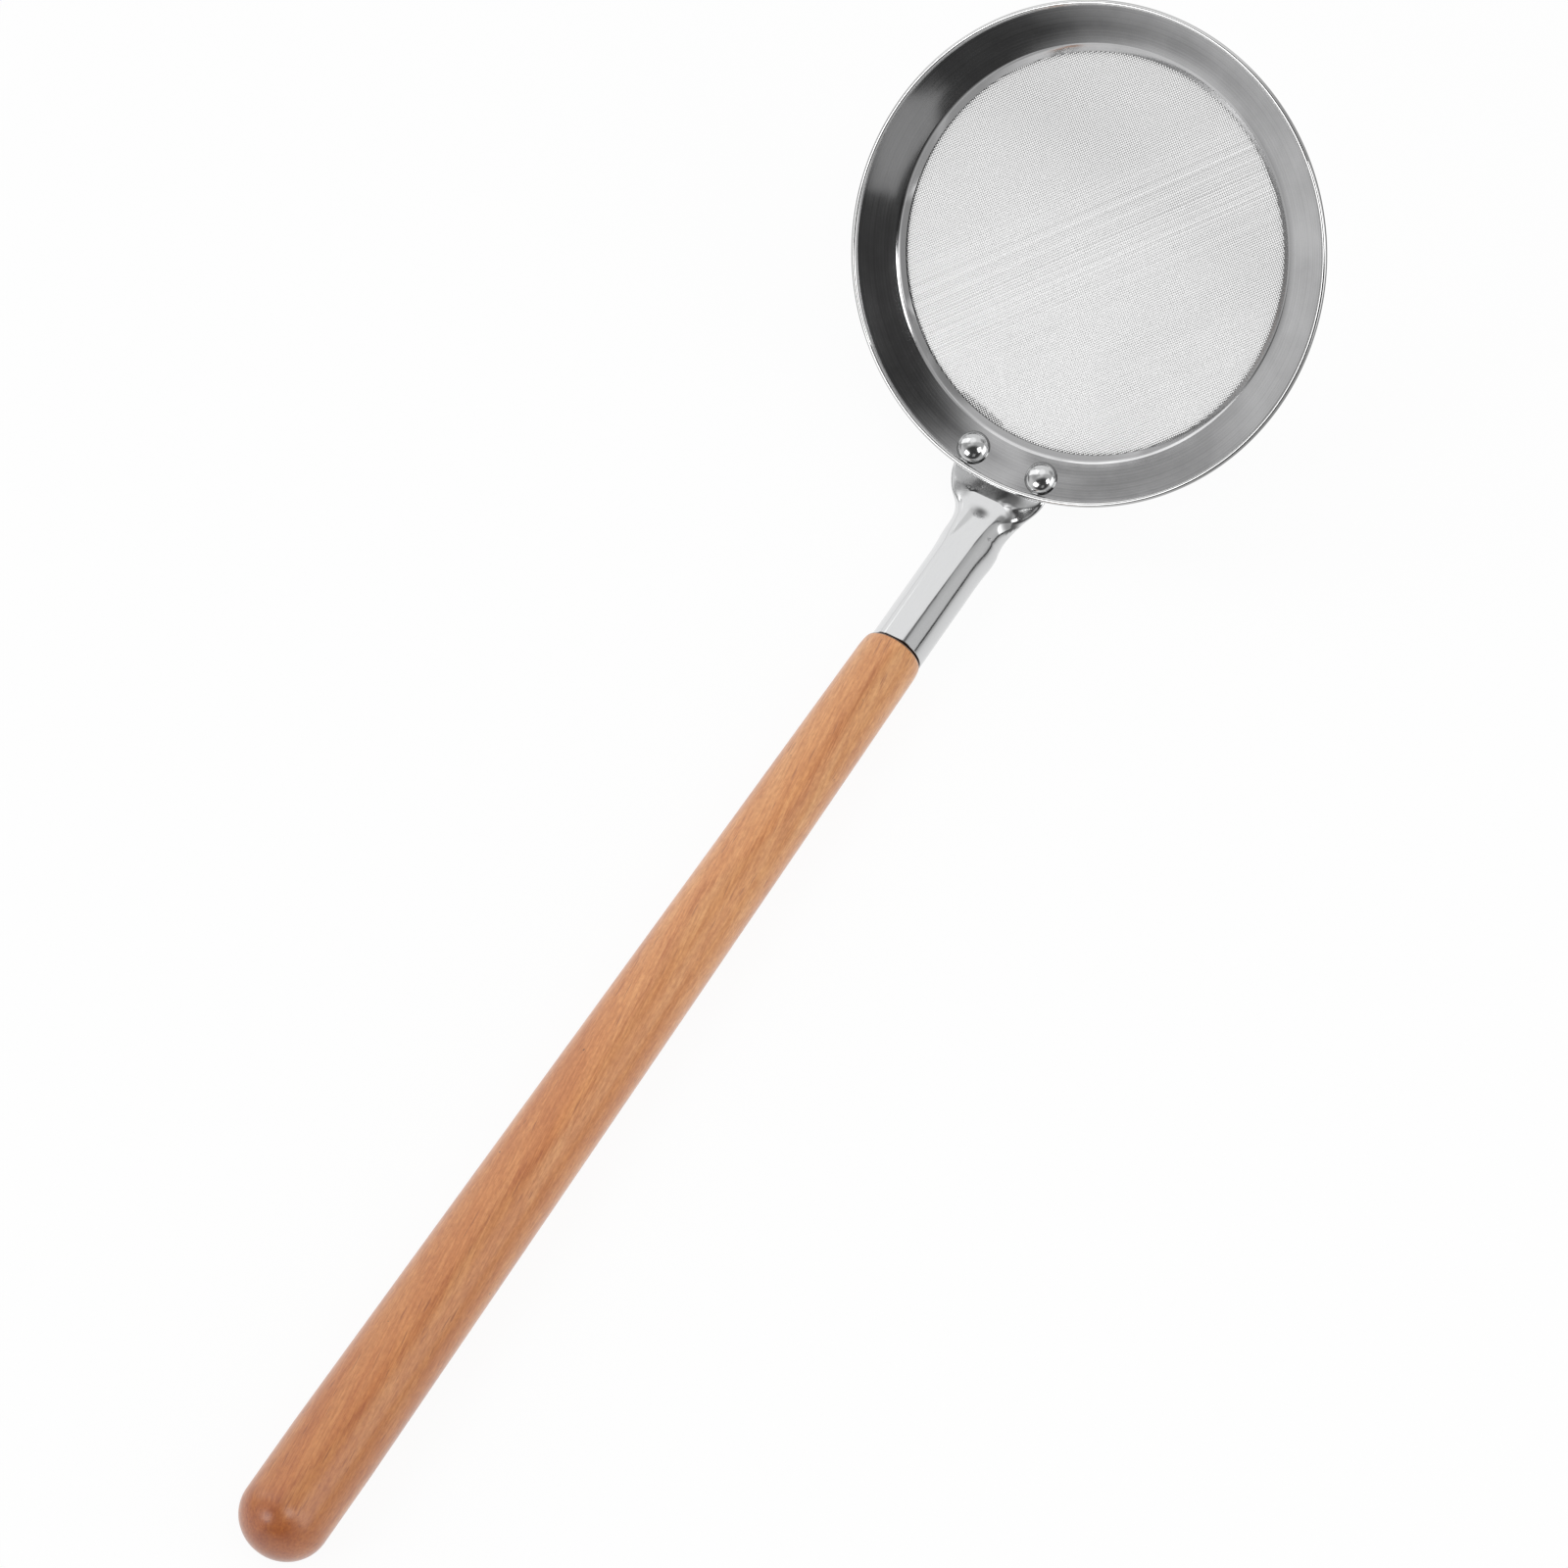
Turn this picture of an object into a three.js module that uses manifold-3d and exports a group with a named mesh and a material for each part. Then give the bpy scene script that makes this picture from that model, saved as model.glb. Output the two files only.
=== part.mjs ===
// Oil skimmer: a shallow round pan with a fine mesh floor, on a riveted metal ferrule with a turned wooden handle.
// Millimetres, +Z up. It lies along its handle on the plane z = 0, with the pan towards +Y and tipped up.
import * as THREE from 'three';
import { mergeGeometries, mergeVertices } from 'three/addons/utils/BufferGeometryUtils.js';
import Module from 'manifold-3d';

const wasm = await Module();
wasm.setup();

const DEG = Math.PI / 180;

// Clearance that touching pieces keep
const CLEAR = 0.3;

// Pan: heights are measured down from the top of the rim
const RIM_RADIUS = 65;
const BEAD_RADIUS = 0.85;
const SHEET = 0.8;
const WALL_WIDTH = 13.2;
const MESH_DEPTH = 6.2;
const LIP_RADIUS = 1.6;
const WALL_TOP_DROP = 1.2;

// Mesh floor, as a flat net, and the ring that holds its edge from below
const NET_THICKNESS = 0.5;
const NET_PITCH = 5.7;
const NET_BAR = 1.3;
const NET_TURN = 45 * DEG;
const NET_BORDER = 0.8;
const RING_SHEET = 0.8;
const RING_SEAT = 2.2;

// Handle axis: how steeply it rises from the pan, and how far under the rim it passes
const HANDLE_RISE = 41.5 * DEG;
const AXIS_DROP = 12;

// Ferrule: lengths run along the handle from the point under the rim
const TUBE_RADIUS = 7.6;
const TUBE_WALL = 1.0;
const FERRULE_END = 59.9;
const NECK_START = 26;
const NECK_END = 9.8;
const NECK_HOLLOW = 18.5;
const FLANGE_THICKNESS = 1.6;
const FLANGE_WIDTH = 27.2;
const FLANGE_GAP = 0.5;
const RING_GAP = 0.7;
const DIMPLE_AT = 14.2;
const DIMPLE_LENGTH = 3.8;
const DIMPLE_WIDTH = 3.0;
const DIMPLE_DEPTH = 0.9;

// Rivets
const RIVET_PLACE = 0.62;
const RIVET_EDGE = 3.5;
const HEAD_HEIGHT = 2.7;
const SHANK_RADIUS = 2.0;
const TAIL_SHARE = 0.825;
const TAIL_HEIGHT = 1.5;

// Wooden handle
const WOOD_LENGTH = 295.8;
const WOOD_FRONT_RADIUS = 8.4;
const WOOD_BUTT_RADIUS = 11.5;
const WOOD_ROUND_OVER = 4.5;
const WOOD_SHOULDER = 7.8;
const BUTT_STRAIGHT = 21;
const BUTT_DOME = 11;
const TENON_LENGTH = 34;

const PAN_SIDES = 72;

// Turn a geometry into one closed body of shared vertices that faces outwards
function closed(geometry) {
  let g = geometry.clone();
  for (const name of Object.keys(g.attributes)) {
    if (name !== 'position') g.deleteAttribute(name);
  }
  g = mergeVertices(g, 1e-5);
  const p = g.attributes.position;
  const kept = [];
  let volume = 0;
  const a = new THREE.Vector3();
  const b = new THREE.Vector3();
  const c = new THREE.Vector3();
  for (let i = 0; i < g.index.count; i += 3) {
    const [i0, i1, i2] = [g.index.getX(i), g.index.getX(i + 1), g.index.getX(i + 2)];
    if (i0 === i1 || i1 === i2 || i2 === i0) continue;
    kept.push(i0, i1, i2);
    a.fromBufferAttribute(p, i0);
    b.fromBufferAttribute(p, i1);
    c.fromBufferAttribute(p, i2);
    volume += a.dot(b.cross(c));
  }
  if (volume < 0) {
    for (let i = 0; i < kept.length; i += 3) [kept[i + 1], kept[i + 2]] = [kept[i + 2], kept[i + 1]];
  }
  g.setIndex(kept);
  return g;
}

function solid(geometry) {
  const g = closed(geometry);
  const vertProperties = new Float32Array(g.attributes.position.array);
  const triVerts = new Uint32Array(g.index.array);
  return new wasm.Manifold(new wasm.Mesh({ numProp: 3, vertProperties, triVerts }));
}

function geometryOf(manifold) {
  const m = manifold.getMesh();
  const positions = new Float32Array(m.numVert * 3);
  for (let v = 0; v < m.numVert; v++) {
    for (let k = 0; k < 3; k++) positions[v * 3 + k] = m.vertProperties[v * m.numProp + k];
  }
  const g = new THREE.BufferGeometry();
  g.setAttribute('position', new THREE.BufferAttribute(positions, 3));
  g.setIndex(Array.from(m.triVerts));
  g.computeVertexNormals();
  return g;
}

// Revolve a closed outline of [radius, height] points about Z
function turned(outline, sides) {
  const points = outline.map(([r, z]) => new THREE.Vector2(r, z));
  points.push(points[0].clone());
  return closed(new THREE.LatheGeometry(points, sides).rotateX(Math.PI / 2));
}

function arc(cx, cz, radius, from, to, steps) {
  const points = [];
  for (let i = 0; i <= steps; i++) {
    const t = from + ((to - from) * i) / steps;
    points.push([cx + radius * Math.cos(t), cz + radius * Math.sin(t)]);
  }
  return points;
}

// Where a line through [r0, z0] at the given slope angle meets a circle, on the side nearer the pan's axis
function lineOnCircle(r0, z0, slope, cx, cz, radius) {
  const [dr, dz] = [Math.cos(slope), Math.sin(slope)];
  const along = (cx - r0) * dr + (cz - z0) * dz;
  const off = (cx - r0) * dz - (cz - z0) * dr;
  const half = Math.sqrt(Math.max(0, radius * radius - off * off));
  const t = along - half;
  return [r0 + dr * t, z0 + dz * t];
}

function material(color, roughness, metalness) {
  return new THREE.MeshStandardMaterial({ color, roughness, metalness });
}

function piece(name, geometry, mat) {
  const mesh = new THREE.Mesh(geometry, mat);
  mesh.name = name;
  geometry.computeVertexNormals();
  return mesh;
}

// Pan profile. The wall runs straight from the rolled-down lip to just below the bead.
const meshRadius = RIM_RADIUS - WALL_WIDTH;
const beadR = RIM_RADIUS - BEAD_RADIUS;
const beadZ = -BEAD_RADIUS;
const lipZ = -MESH_DEPTH + CLEAR;
const lipR = meshRadius + LIP_RADIUS;
const wallEndR = beadR - 0.9 * BEAD_RADIUS;
const wallEndZ = -WALL_TOP_DROP;
const reach = Math.hypot(wallEndR - lipR, wallEndZ - lipZ);
const wallSlope = Math.atan2(wallEndZ - lipZ, wallEndR - lipR) - Math.asin(LIP_RADIUS / reach);
const wallUp = Math.PI / 2 + wallSlope;
const underLip = LIP_RADIUS - SHEET;

// Height of the wall's upper face at a distance from the pan's axis
function wallTop(r) {
  const r0 = lipR + LIP_RADIUS * Math.cos(wallUp);
  const z0 = lipZ + LIP_RADIUS * Math.sin(wallUp);
  return z0 + (r - r0) * Math.tan(wallSlope);
}

// Height of a surface that lies under the wall's upper face by a thickness measured square to it
function underWall(r, depth) {
  return wallTop(r) - depth / Math.cos(wallSlope);
}

function panOutline() {
  const topStart = [lipR, wallTop(lipR)];
  const underStart = [lipR, underWall(lipR, SHEET)];
  const onTop = lineOnCircle(topStart[0], topStart[1], wallSlope, beadR, beadZ, BEAD_RADIUS);
  const onUnder = lineOnCircle(underStart[0], underStart[1], wallSlope, beadR, beadZ, BEAD_RADIUS);
  const a0 = Math.atan2(onTop[1] - beadZ, onTop[0] - beadR);
  const a1 = Math.atan2(onUnder[1] - beadZ, onUnder[0] - beadR);
  const start = a0 < 0 ? a0 + 2 * Math.PI : a0;
  const end = a1 > 0 ? a1 - 2 * Math.PI : a1;
  return [
    ...arc(lipR, lipZ, LIP_RADIUS, Math.PI, wallUp, 5),
    ...arc(beadR, beadZ, BEAD_RADIUS, start, end, 13),
    ...arc(lipR, lipZ, underLip, wallUp, Math.PI, 4),
  ];
}

// The flange runs in from the rim until it is just short of the ring that holds the mesh
const flangeInset = WALL_WIDTH - RING_SEAT - RING_SHEET - CLEAR - RING_GAP;

// Rivet seats: on the wall's upper face, square to it, with heads that just reach the bead
const rivetInset = RIVET_PLACE * flangeInset;
const rivetR = RIM_RADIUS - rivetInset;
const headRadius = rivetInset - 2 * BEAD_RADIUS;
const tailRadius = TAIL_SHARE * headRadius;
const rivetTurn = Math.asin((FLANGE_WIDTH / 2 - RIVET_EDGE) / rivetR);

function rivetMatrix(side) {
  const m = new THREE.Matrix4().makeRotationZ(side * rivetTurn);
  m.multiply(new THREE.Matrix4().makeTranslation(0, -rivetR, wallTop(rivetR)));
  return m.multiply(new THREE.Matrix4().makeRotationX(-wallSlope));
}

const rivetGrip = SHEET + FLANGE_GAP + FLANGE_THICKNESS;

function rivetHole(side) {
  const g = new THREE.CylinderGeometry(SHANK_RADIUS + CLEAR, SHANK_RADIUS + CLEAR, 4 * rivetGrip, 20);
  return g.rotateX(Math.PI / 2).applyMatrix4(rivetMatrix(side));
}

function rivetOutline() {
  const headBase = CLEAR;
  const tailBase = -rivetGrip - CLEAR;
  const points = [[0, headBase + HEAD_HEIGHT]];
  const steps = 7;
  for (let i = 1; i <= steps; i++) {
    const t = (i / steps) * 90 * DEG;
    const flat = 0.18 * HEAD_HEIGHT;
    points.push([headRadius * Math.sin(t), headBase + flat + (HEAD_HEIGHT - flat) * Math.cos(t)]);
  }
  points.push([headRadius * 0.97, headBase]);
  points.push([SHANK_RADIUS, headBase], [SHANK_RADIUS, tailBase]);
  points.push([tailRadius * 0.92, tailBase], [tailRadius, tailBase - 0.3 * TAIL_HEIGHT]);
  points.push([tailRadius * 0.72, tailBase - 0.85 * TAIL_HEIGHT], [0, tailBase - TAIL_HEIGHT]);
  return points;
}

function frameGeometry() {
  let body = solid(turned(panOutline(), PAN_SIDES));
  for (const side of [-1, 1]) body = body.subtract(solid(rivetHole(side)));
  return geometryOf(body);
}

// Mesh floor: a round plate with square gaps that lie at a slant to the handle
const netRadius = meshRadius + RING_SEAT;

function netGeometry() {
  const plate = solid(new THREE.CylinderGeometry(netRadius, netRadius, NET_THICKNESS, PAN_SIDES).rotateX(Math.PI / 2));
  const clearRadius = meshRadius - NET_BORDER;
  const limit = new THREE.CylinderGeometry(clearRadius, clearRadius, 4 * NET_THICKNESS, PAN_SIDES);
  const gap = NET_PITCH - NET_BAR;
  const most = Math.ceil(clearRadius / NET_PITCH) + 1;
  const cells = [];
  for (let i = -most; i < most; i++) {
    for (let j = -most; j < most; j++) {
      const [x, y] = [(i + 0.5) * NET_PITCH, (j + 0.5) * NET_PITCH];
      if (Math.hypot(x, y) > clearRadius + 0.15 * NET_PITCH) continue;
      cells.push(new THREE.BoxGeometry(gap, gap, 3 * NET_THICKNESS).translate(x, y, 0));
    }
  }
  const gaps = solid(mergeGeometries(cells).rotateZ(NET_TURN)).intersect(solid(limit.rotateX(Math.PI / 2)));
  const net = plate.subtract(gaps);
  return geometryOf(net).translate(0, 0, -MESH_DEPTH - NET_THICKNESS / 2);
}

// Ring under the edge of the mesh: a flat seat with an outer wall that stands up to the pan
function ringOutline() {
  const seatTop = -MESH_DEPTH - NET_THICKNESS - CLEAR;
  const seatUnder = seatTop - RING_SHEET;
  const inner = meshRadius + 0.2;
  const wallIn = netRadius + CLEAR;
  const wallOut = wallIn + RING_SHEET;
  const round = 0.35 * RING_SHEET;
  return [
    [inner, seatTop],
    [inner, seatUnder],
    [wallOut - round, seatUnder],
    [wallOut, seatUnder + round],
    [wallOut, underWall(wallOut, SHEET) - CLEAR],
    [wallIn, underWall(wallIn, SHEET) - CLEAR],
    [wallIn, seatTop],
  ];
}

// From the pan's own axes to the handle's: the handle's axis is the Y axis, with the pan towards +Y
const panMatrix = new THREE.Matrix4().makeRotationX(HANDLE_RISE);
panMatrix.setPosition(
  0,
  RIM_RADIUS * Math.cos(HANDLE_RISE) - AXIS_DROP * Math.sin(HANDLE_RISE),
  RIM_RADIUS * Math.sin(HANDLE_RISE) + AXIS_DROP * Math.cos(HANDLE_RISE),
);

// A point in the pan's plane of symmetry, as [y, z] in the handle's axes
function fromPan(r, z) {
  const v = new THREE.Vector3(0, -r, z).applyMatrix4(panMatrix);
  return [v.y, v.z];
}

// Middle line of the flange, which lies along the underside of the wall
const flangeTilt = HANDLE_RISE - wallSlope;
const flangeMid = SHEET + FLANGE_GAP + FLANGE_THICKNESS / 2;

function flangePoint(r) {
  return fromPan(r, underWall(r, flangeMid));
}

// Distance from the pan's axis at which the flange's middle line has come out to a given length along the handle
function flangeRadiusAt(length) {
  const [y0] = flangePoint(0);
  const [y1] = flangePoint(1);
  return (-length - y0) / (y1 - y0);
}

const creaseR = flangeRadiusAt(NECK_END);
const creaseMid = flangePoint(creaseR);
const flangeInR = RIM_RADIUS - flangeInset;
const halfFlange = FLANGE_THICKNESS / 2;

// One section of the ferrule: its centre, tilt, half width, half height, squareness and hug of the round wall
function neckSection(t) {
  const y = -NECK_START + (NECK_START - NECK_END) * t;
  const topEnd = creaseMid[1] + halfFlange;
  const underEnd = creaseMid[1] - halfFlange;
  const top = TUBE_RADIUS + (topEnd - TUBE_RADIUS) * Math.pow(t, 1.4);
  const under = -TUBE_RADIUS + (underEnd + TUBE_RADIUS) * Math.pow(t, 1.9);
  const spread = Math.max(0, (t - 0.5) / 0.5);
  const half = TUBE_RADIUS + (0.39 * FLANGE_WIDTH - TUBE_RADIUS) * Math.pow(spread, 1.5);
  return {
    y,
    z: (top + under) / 2,
    tilt: 0.5 * flangeTilt * Math.pow(t, 6),
    half,
    high: (top - under) / 2,
    square: 2 + 2.2 * Math.pow(t, 2),
    hug: 0,
    r: creaseR,
  };
}

function flangeSection(t) {
  const r = creaseR + (flangeInR - creaseR) * t;
  const [y, z] = flangePoint(r);
  const opening = Math.min(1, t / 0.35);
  const closing = Math.max(0, (t - 0.86) / 0.14);
  const wide = 0.39 + 0.11 * Math.sin(opening * 90 * DEG);
  return {
    y,
    z,
    tilt: flangeTilt,
    half: FLANGE_WIDTH * (wide - 0.09 * closing * closing),
    high: halfFlange,
    square: 6,
    hug: Math.min(1, t / 0.3),
    r,
  };
}

const FERRULE_SIDES = 40;

function sectionPoints(s) {
  const points = [];
  for (let i = 0; i < FERRULE_SIDES; i++) {
    const a = ((i + 0.5) / FERRULE_SIDES) * 2 * Math.PI;
    const [c, d] = [Math.cos(a), Math.sin(a)];
    const x = s.half * Math.sign(c) * Math.pow(Math.abs(c), 2 / s.square);
    const h = s.high * Math.sign(d) * Math.pow(Math.abs(d), 2 / s.square);
    const rise = (s.hug * Math.tan(wallSlope) * x * x) / (2 * s.r);
    const y = s.y - h * Math.sin(s.tilt) - rise * Math.sin(HANDLE_RISE);
    const z = s.z + h * Math.cos(s.tilt) + rise * Math.cos(HANDLE_RISE);
    points.push([x, y, z]);
  }
  return points;
}

// Skin a row of sections and close both ends
function lofted(sections) {
  const rows = sections.map(sectionPoints);
  const n = rows[0].length;
  const positions = rows.flat(2);
  const index = [];
  for (let k = 0; k + 1 < rows.length; k++) {
    for (let i = 0; i < n; i++) {
      const [a, b] = [k * n + i, k * n + ((i + 1) % n)];
      index.push(a, b, a + n, b, b + n, a + n);
    }
  }
  for (const [row, flip] of [[0, true], [rows.length - 1, false]]) {
    const centre = positions.length / 3;
    for (let axis = 0; axis < 3; axis++) {
      positions.push(rows[row].reduce((sum, p) => sum + p[axis], 0) / n);
    }
    for (let i = 0; i < n; i++) {
      const [a, b] = [row * n + i, row * n + ((i + 1) % n)];
      if (flip) index.push(centre, b, a);
      else index.push(centre, a, b);
    }
  }
  const g = new THREE.BufferGeometry();
  g.setAttribute('position', new THREE.Float32BufferAttribute(positions, 3));
  g.setIndex(index);
  return g;
}

function tubeSection(length, radius) {
  return { y: -length, z: 0, tilt: 0, half: radius, high: radius, square: 2, hug: 0, r: creaseR };
}

const boreRadius = TUBE_RADIUS - TUBE_WALL;

function ferruleGeometry() {
  const outer = [tubeSection(FERRULE_END, TUBE_RADIUS - 0.25), tubeSection(FERRULE_END - 0.4, TUBE_RADIUS)];
  for (let i = 0; i <= 10; i++) outer.push(neckSection(i / 10));
  for (let i = 1; i <= 12; i++) outer.push(flangeSection(i / 12));
  const hollowEnd = (NECK_START - NECK_HOLLOW) / (NECK_START - NECK_END);
  const inner = [tubeSection(FERRULE_END + 2, boreRadius)];
  for (let i = 0; i <= 4; i++) {
    const s = neckSection((hollowEnd * i) / 4);
    inner.push({ ...s, half: s.half - TUBE_WALL, high: s.high - TUBE_WALL });
  }
  let body = solid(lofted(outer)).subtract(solid(lofted(inner)));
  for (const side of [-1, 1]) body = body.subtract(solid(rivetHole(side).applyMatrix4(panMatrix)));
  const seat = neckSection((NECK_START - DIMPLE_AT) / (NECK_START - NECK_END));
  const dimple = new THREE.SphereGeometry(1, 16, 10).scale(DIMPLE_WIDTH / 2, DIMPLE_LENGTH / 2, DIMPLE_DEPTH);
  body = body.subtract(solid(dimple.translate(0, -DIMPLE_AT, seat.z + seat.high + 0.1 * DIMPLE_DEPTH)));
  return geometryOf(body);
}

// Handle: lengths run along its axis from the point under the rim
const woodStart = FERRULE_END + CLEAR;
const woodEnd = woodStart + WOOD_LENGTH;
const taperStart = woodStart + WOOD_ROUND_OVER;
const taperEnd = woodEnd - BUTT_DOME - BUTT_STRAIGHT;

function handleGeometry() {
  const tenonRadius = boreRadius - CLEAR;
  const points = [];
  const add = (r, length) => points.push(new THREE.Vector2(r, -length));
  const domeSteps = 9;
  for (let i = 0; i <= domeSteps; i++) {
    const t = (i / domeSteps) * 90 * DEG;
    add(i === 0 ? 0 : WOOD_BUTT_RADIUS * Math.sin(t), woodEnd - BUTT_DOME + BUTT_DOME * Math.cos(t));
  }
  add(WOOD_BUTT_RADIUS, taperEnd);
  add(WOOD_FRONT_RADIUS, taperStart);
  for (let i = 1; i <= 5; i++) {
    const t = (i / 5) * 90 * DEG;
    const drop = (WOOD_FRONT_RADIUS - WOOD_SHOULDER) * (1 - Math.cos(t));
    add(WOOD_FRONT_RADIUS - drop, taperStart - WOOD_ROUND_OVER * Math.sin(t));
  }
  add(tenonRadius, woodStart);
  add(tenonRadius, woodStart - TENON_LENGTH + 1);
  add(tenonRadius - 1, woodStart - TENON_LENGTH);
  add(0, woodStart - TENON_LENGTH);
  return closed(new THREE.LatheGeometry(points, 40));
}

const steel = material(0xb9babb, 0.28, 1);
const polished = material(0xd2d3d4, 0.14, 1);
const gauze = material(0xc9cacb, 0.4, 0.9);
const wood = material(0xc98a58, 0.5, 0);

const pan = new THREE.Group();
pan.applyMatrix4(panMatrix);
pan.add(piece('strainer_frame', frameGeometry(), steel));
pan.add(piece('mesh_disc', netGeometry(), gauze));
pan.add(piece('mesh_ring', turned(ringOutline(), PAN_SIDES), steel.clone()));
for (const [name, side] of [['rivet_left', -1], ['rivet_right', 1]]) {
  const rivet = piece(name, turned(rivetOutline(), 24), polished.clone());
  rivet.applyMatrix4(rivetMatrix(side));
  pan.add(rivet);
}

const tool = new THREE.Group();
tool.add(pan);
tool.add(piece('ferrule', ferruleGeometry(), polished));
tool.add(piece('handle', handleGeometry(), wood));

// Lie the taper of the handle flat on the table, with the origin under the middle of the whole tool
tool.rotation.x = -Math.atan2(WOOD_BUTT_RADIUS - WOOD_FRONT_RADIUS, taperEnd - taperStart);
const skimmer = new THREE.Group();
skimmer.add(tool);
skimmer.updateMatrixWorld(true);
const box = new THREE.Box3().setFromObject(skimmer, true);
const middle = box.getCenter(new THREE.Vector3());
tool.position.set(-middle.x, -middle.y, -box.min.z);
skimmer.updateMatrixWorld(true);

export default skimmer;
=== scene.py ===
"""Oil skimmer: a shallow steel pan with a fine woven floor, riveted to a ferrule on a wooden handle."""

import math

import bmesh
import bpy
from mathutils import Matrix, Vector, noise


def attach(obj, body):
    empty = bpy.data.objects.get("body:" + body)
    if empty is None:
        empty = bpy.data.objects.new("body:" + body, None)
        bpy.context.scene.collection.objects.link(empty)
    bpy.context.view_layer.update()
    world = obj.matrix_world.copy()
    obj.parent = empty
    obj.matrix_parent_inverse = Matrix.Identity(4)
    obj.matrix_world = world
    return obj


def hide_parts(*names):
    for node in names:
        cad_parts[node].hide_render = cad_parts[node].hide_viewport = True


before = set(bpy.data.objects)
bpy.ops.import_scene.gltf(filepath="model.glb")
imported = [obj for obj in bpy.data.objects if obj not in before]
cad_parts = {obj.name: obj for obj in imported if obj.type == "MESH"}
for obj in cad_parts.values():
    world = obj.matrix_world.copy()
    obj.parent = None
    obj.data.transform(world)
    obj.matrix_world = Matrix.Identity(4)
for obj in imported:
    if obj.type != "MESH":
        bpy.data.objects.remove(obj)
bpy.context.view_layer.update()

bl_info = {
    "name": "Oil skimmer",
    "version": (1, 0, 0),
    "blender": (4, 5, 0),
    "location": "3D View > Sidebar > Skimmer",
    "description": "Builds an oil skimmer with a woven floor, a riveted ferrule and a wooden handle",
    "category": "Object",
}


def length(name, description, default):
    """A size in metres for the sidebar."""
    return bpy.props.FloatProperty(
        name=name, description=description, default=default, precision=5, unit="LENGTH"
    )


def angle(name, description, degrees):
    """An angle for the sidebar."""
    return bpy.props.FloatProperty(
        name=name, description=description, default=math.radians(degrees), precision=4, unit="ROTATION"
    )


def colour(name, description, default):
    """A colour for the sidebar."""
    return bpy.props.FloatVectorProperty(
        name=name, description=description, default=default, size=3, min=0.0, max=1.0, subtype="COLOR"
    )


def place(name, description, default):
    """A place in metres for the sidebar."""
    return bpy.props.FloatVectorProperty(
        name=name, description=description, default=default, size=3, subtype="XYZ"
    )


class PanSizes(bpy.types.PropertyGroup):
    """Sizes of the pressed pan, measured down from the top of its rim."""

    rim_radius: length("Rim radius", "Outer radius of the rolled rim", 0.065)
    bead_radius: length("Bead radius", "Radius of the rolled bead round the rim", 0.00085)
    rim_roll: length("Rim roll", "Radius of the bright roll along the top of the bead", 0.00074)
    rim_fillet: length("Rim fillet", "Radius of the curve from the wall up to that roll", 0.00012)
    sheet: length("Sheet", "Thickness of the pan's sheet", 0.0008)
    wall_width: length("Wall width", "Distance from the rim in to the edge of the lip", 0.0132)
    mesh_depth: length("Mesh depth", "How far the mesh lies below the rim", 0.0062)
    lip_radius: length("Lip radius", "Radius of the lip that turns down onto the mesh", 0.0016)
    wall_drop: length("Wall drop", "How far below the rim the wall meets the bead", 0.0012)
    clearance: length("Clearance", "Gap between touching pieces", 0.0003)
    lip_foot: length("Lip foot", "Radius of the lip's lower edge on the mesh", 0.00025)
    lip_bend: length("Lip bend", "Tight bend between the lip's shoulder and its straight band", 0.001)
    lip_shoulder: length("Lip shoulder", "Radius of the shoulder, where the wall first turns down", 0.0045)
    shoulder_kink: angle("Shoulder kink", "Sudden turn from the wall to the shoulder", 4.0)
    shoulder_turn: angle("Shoulder turn", "How far the shoulder turns down", 9.0)
    lip_slope: angle("Lip slope", "Slope of the lip's straight band", 39.5)
    dish_width: length("Dish width", "Distance from the rim in to where the wall starts to curve", 0.0068)
    dish_slope: angle("Dish slope", "How much steeper the wall has become where the shoulder starts", 3.2)
    tilt: angle("Tilt", "How far the pan tips up from the table", 40.81505)
    centre: place("Centre", "Middle of the rim's top", (0.0, 0.173691, 0.059193))


class MeshSizes(bpy.types.PropertyGroup):
    """Sizes of the woven wire floor and the ring under its edge."""

    pitch: length("Pitch", "Distance between neighbouring wires", 0.00056)
    wire: length("Wire", "Thickness of one wire", 0.00023)
    slant: angle("Slant", "Angle between the wires and the handle", 45.0)
    seat: length("Seat", "Width of the mesh that the ring holds", 0.0016)
    ring_sheet: length("Ring sheet", "Thickness of the ring's sheet", 0.0008)
    net_thickness: length("Net thickness", "Room that the mesh takes between lip and ring", 0.0005)


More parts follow.
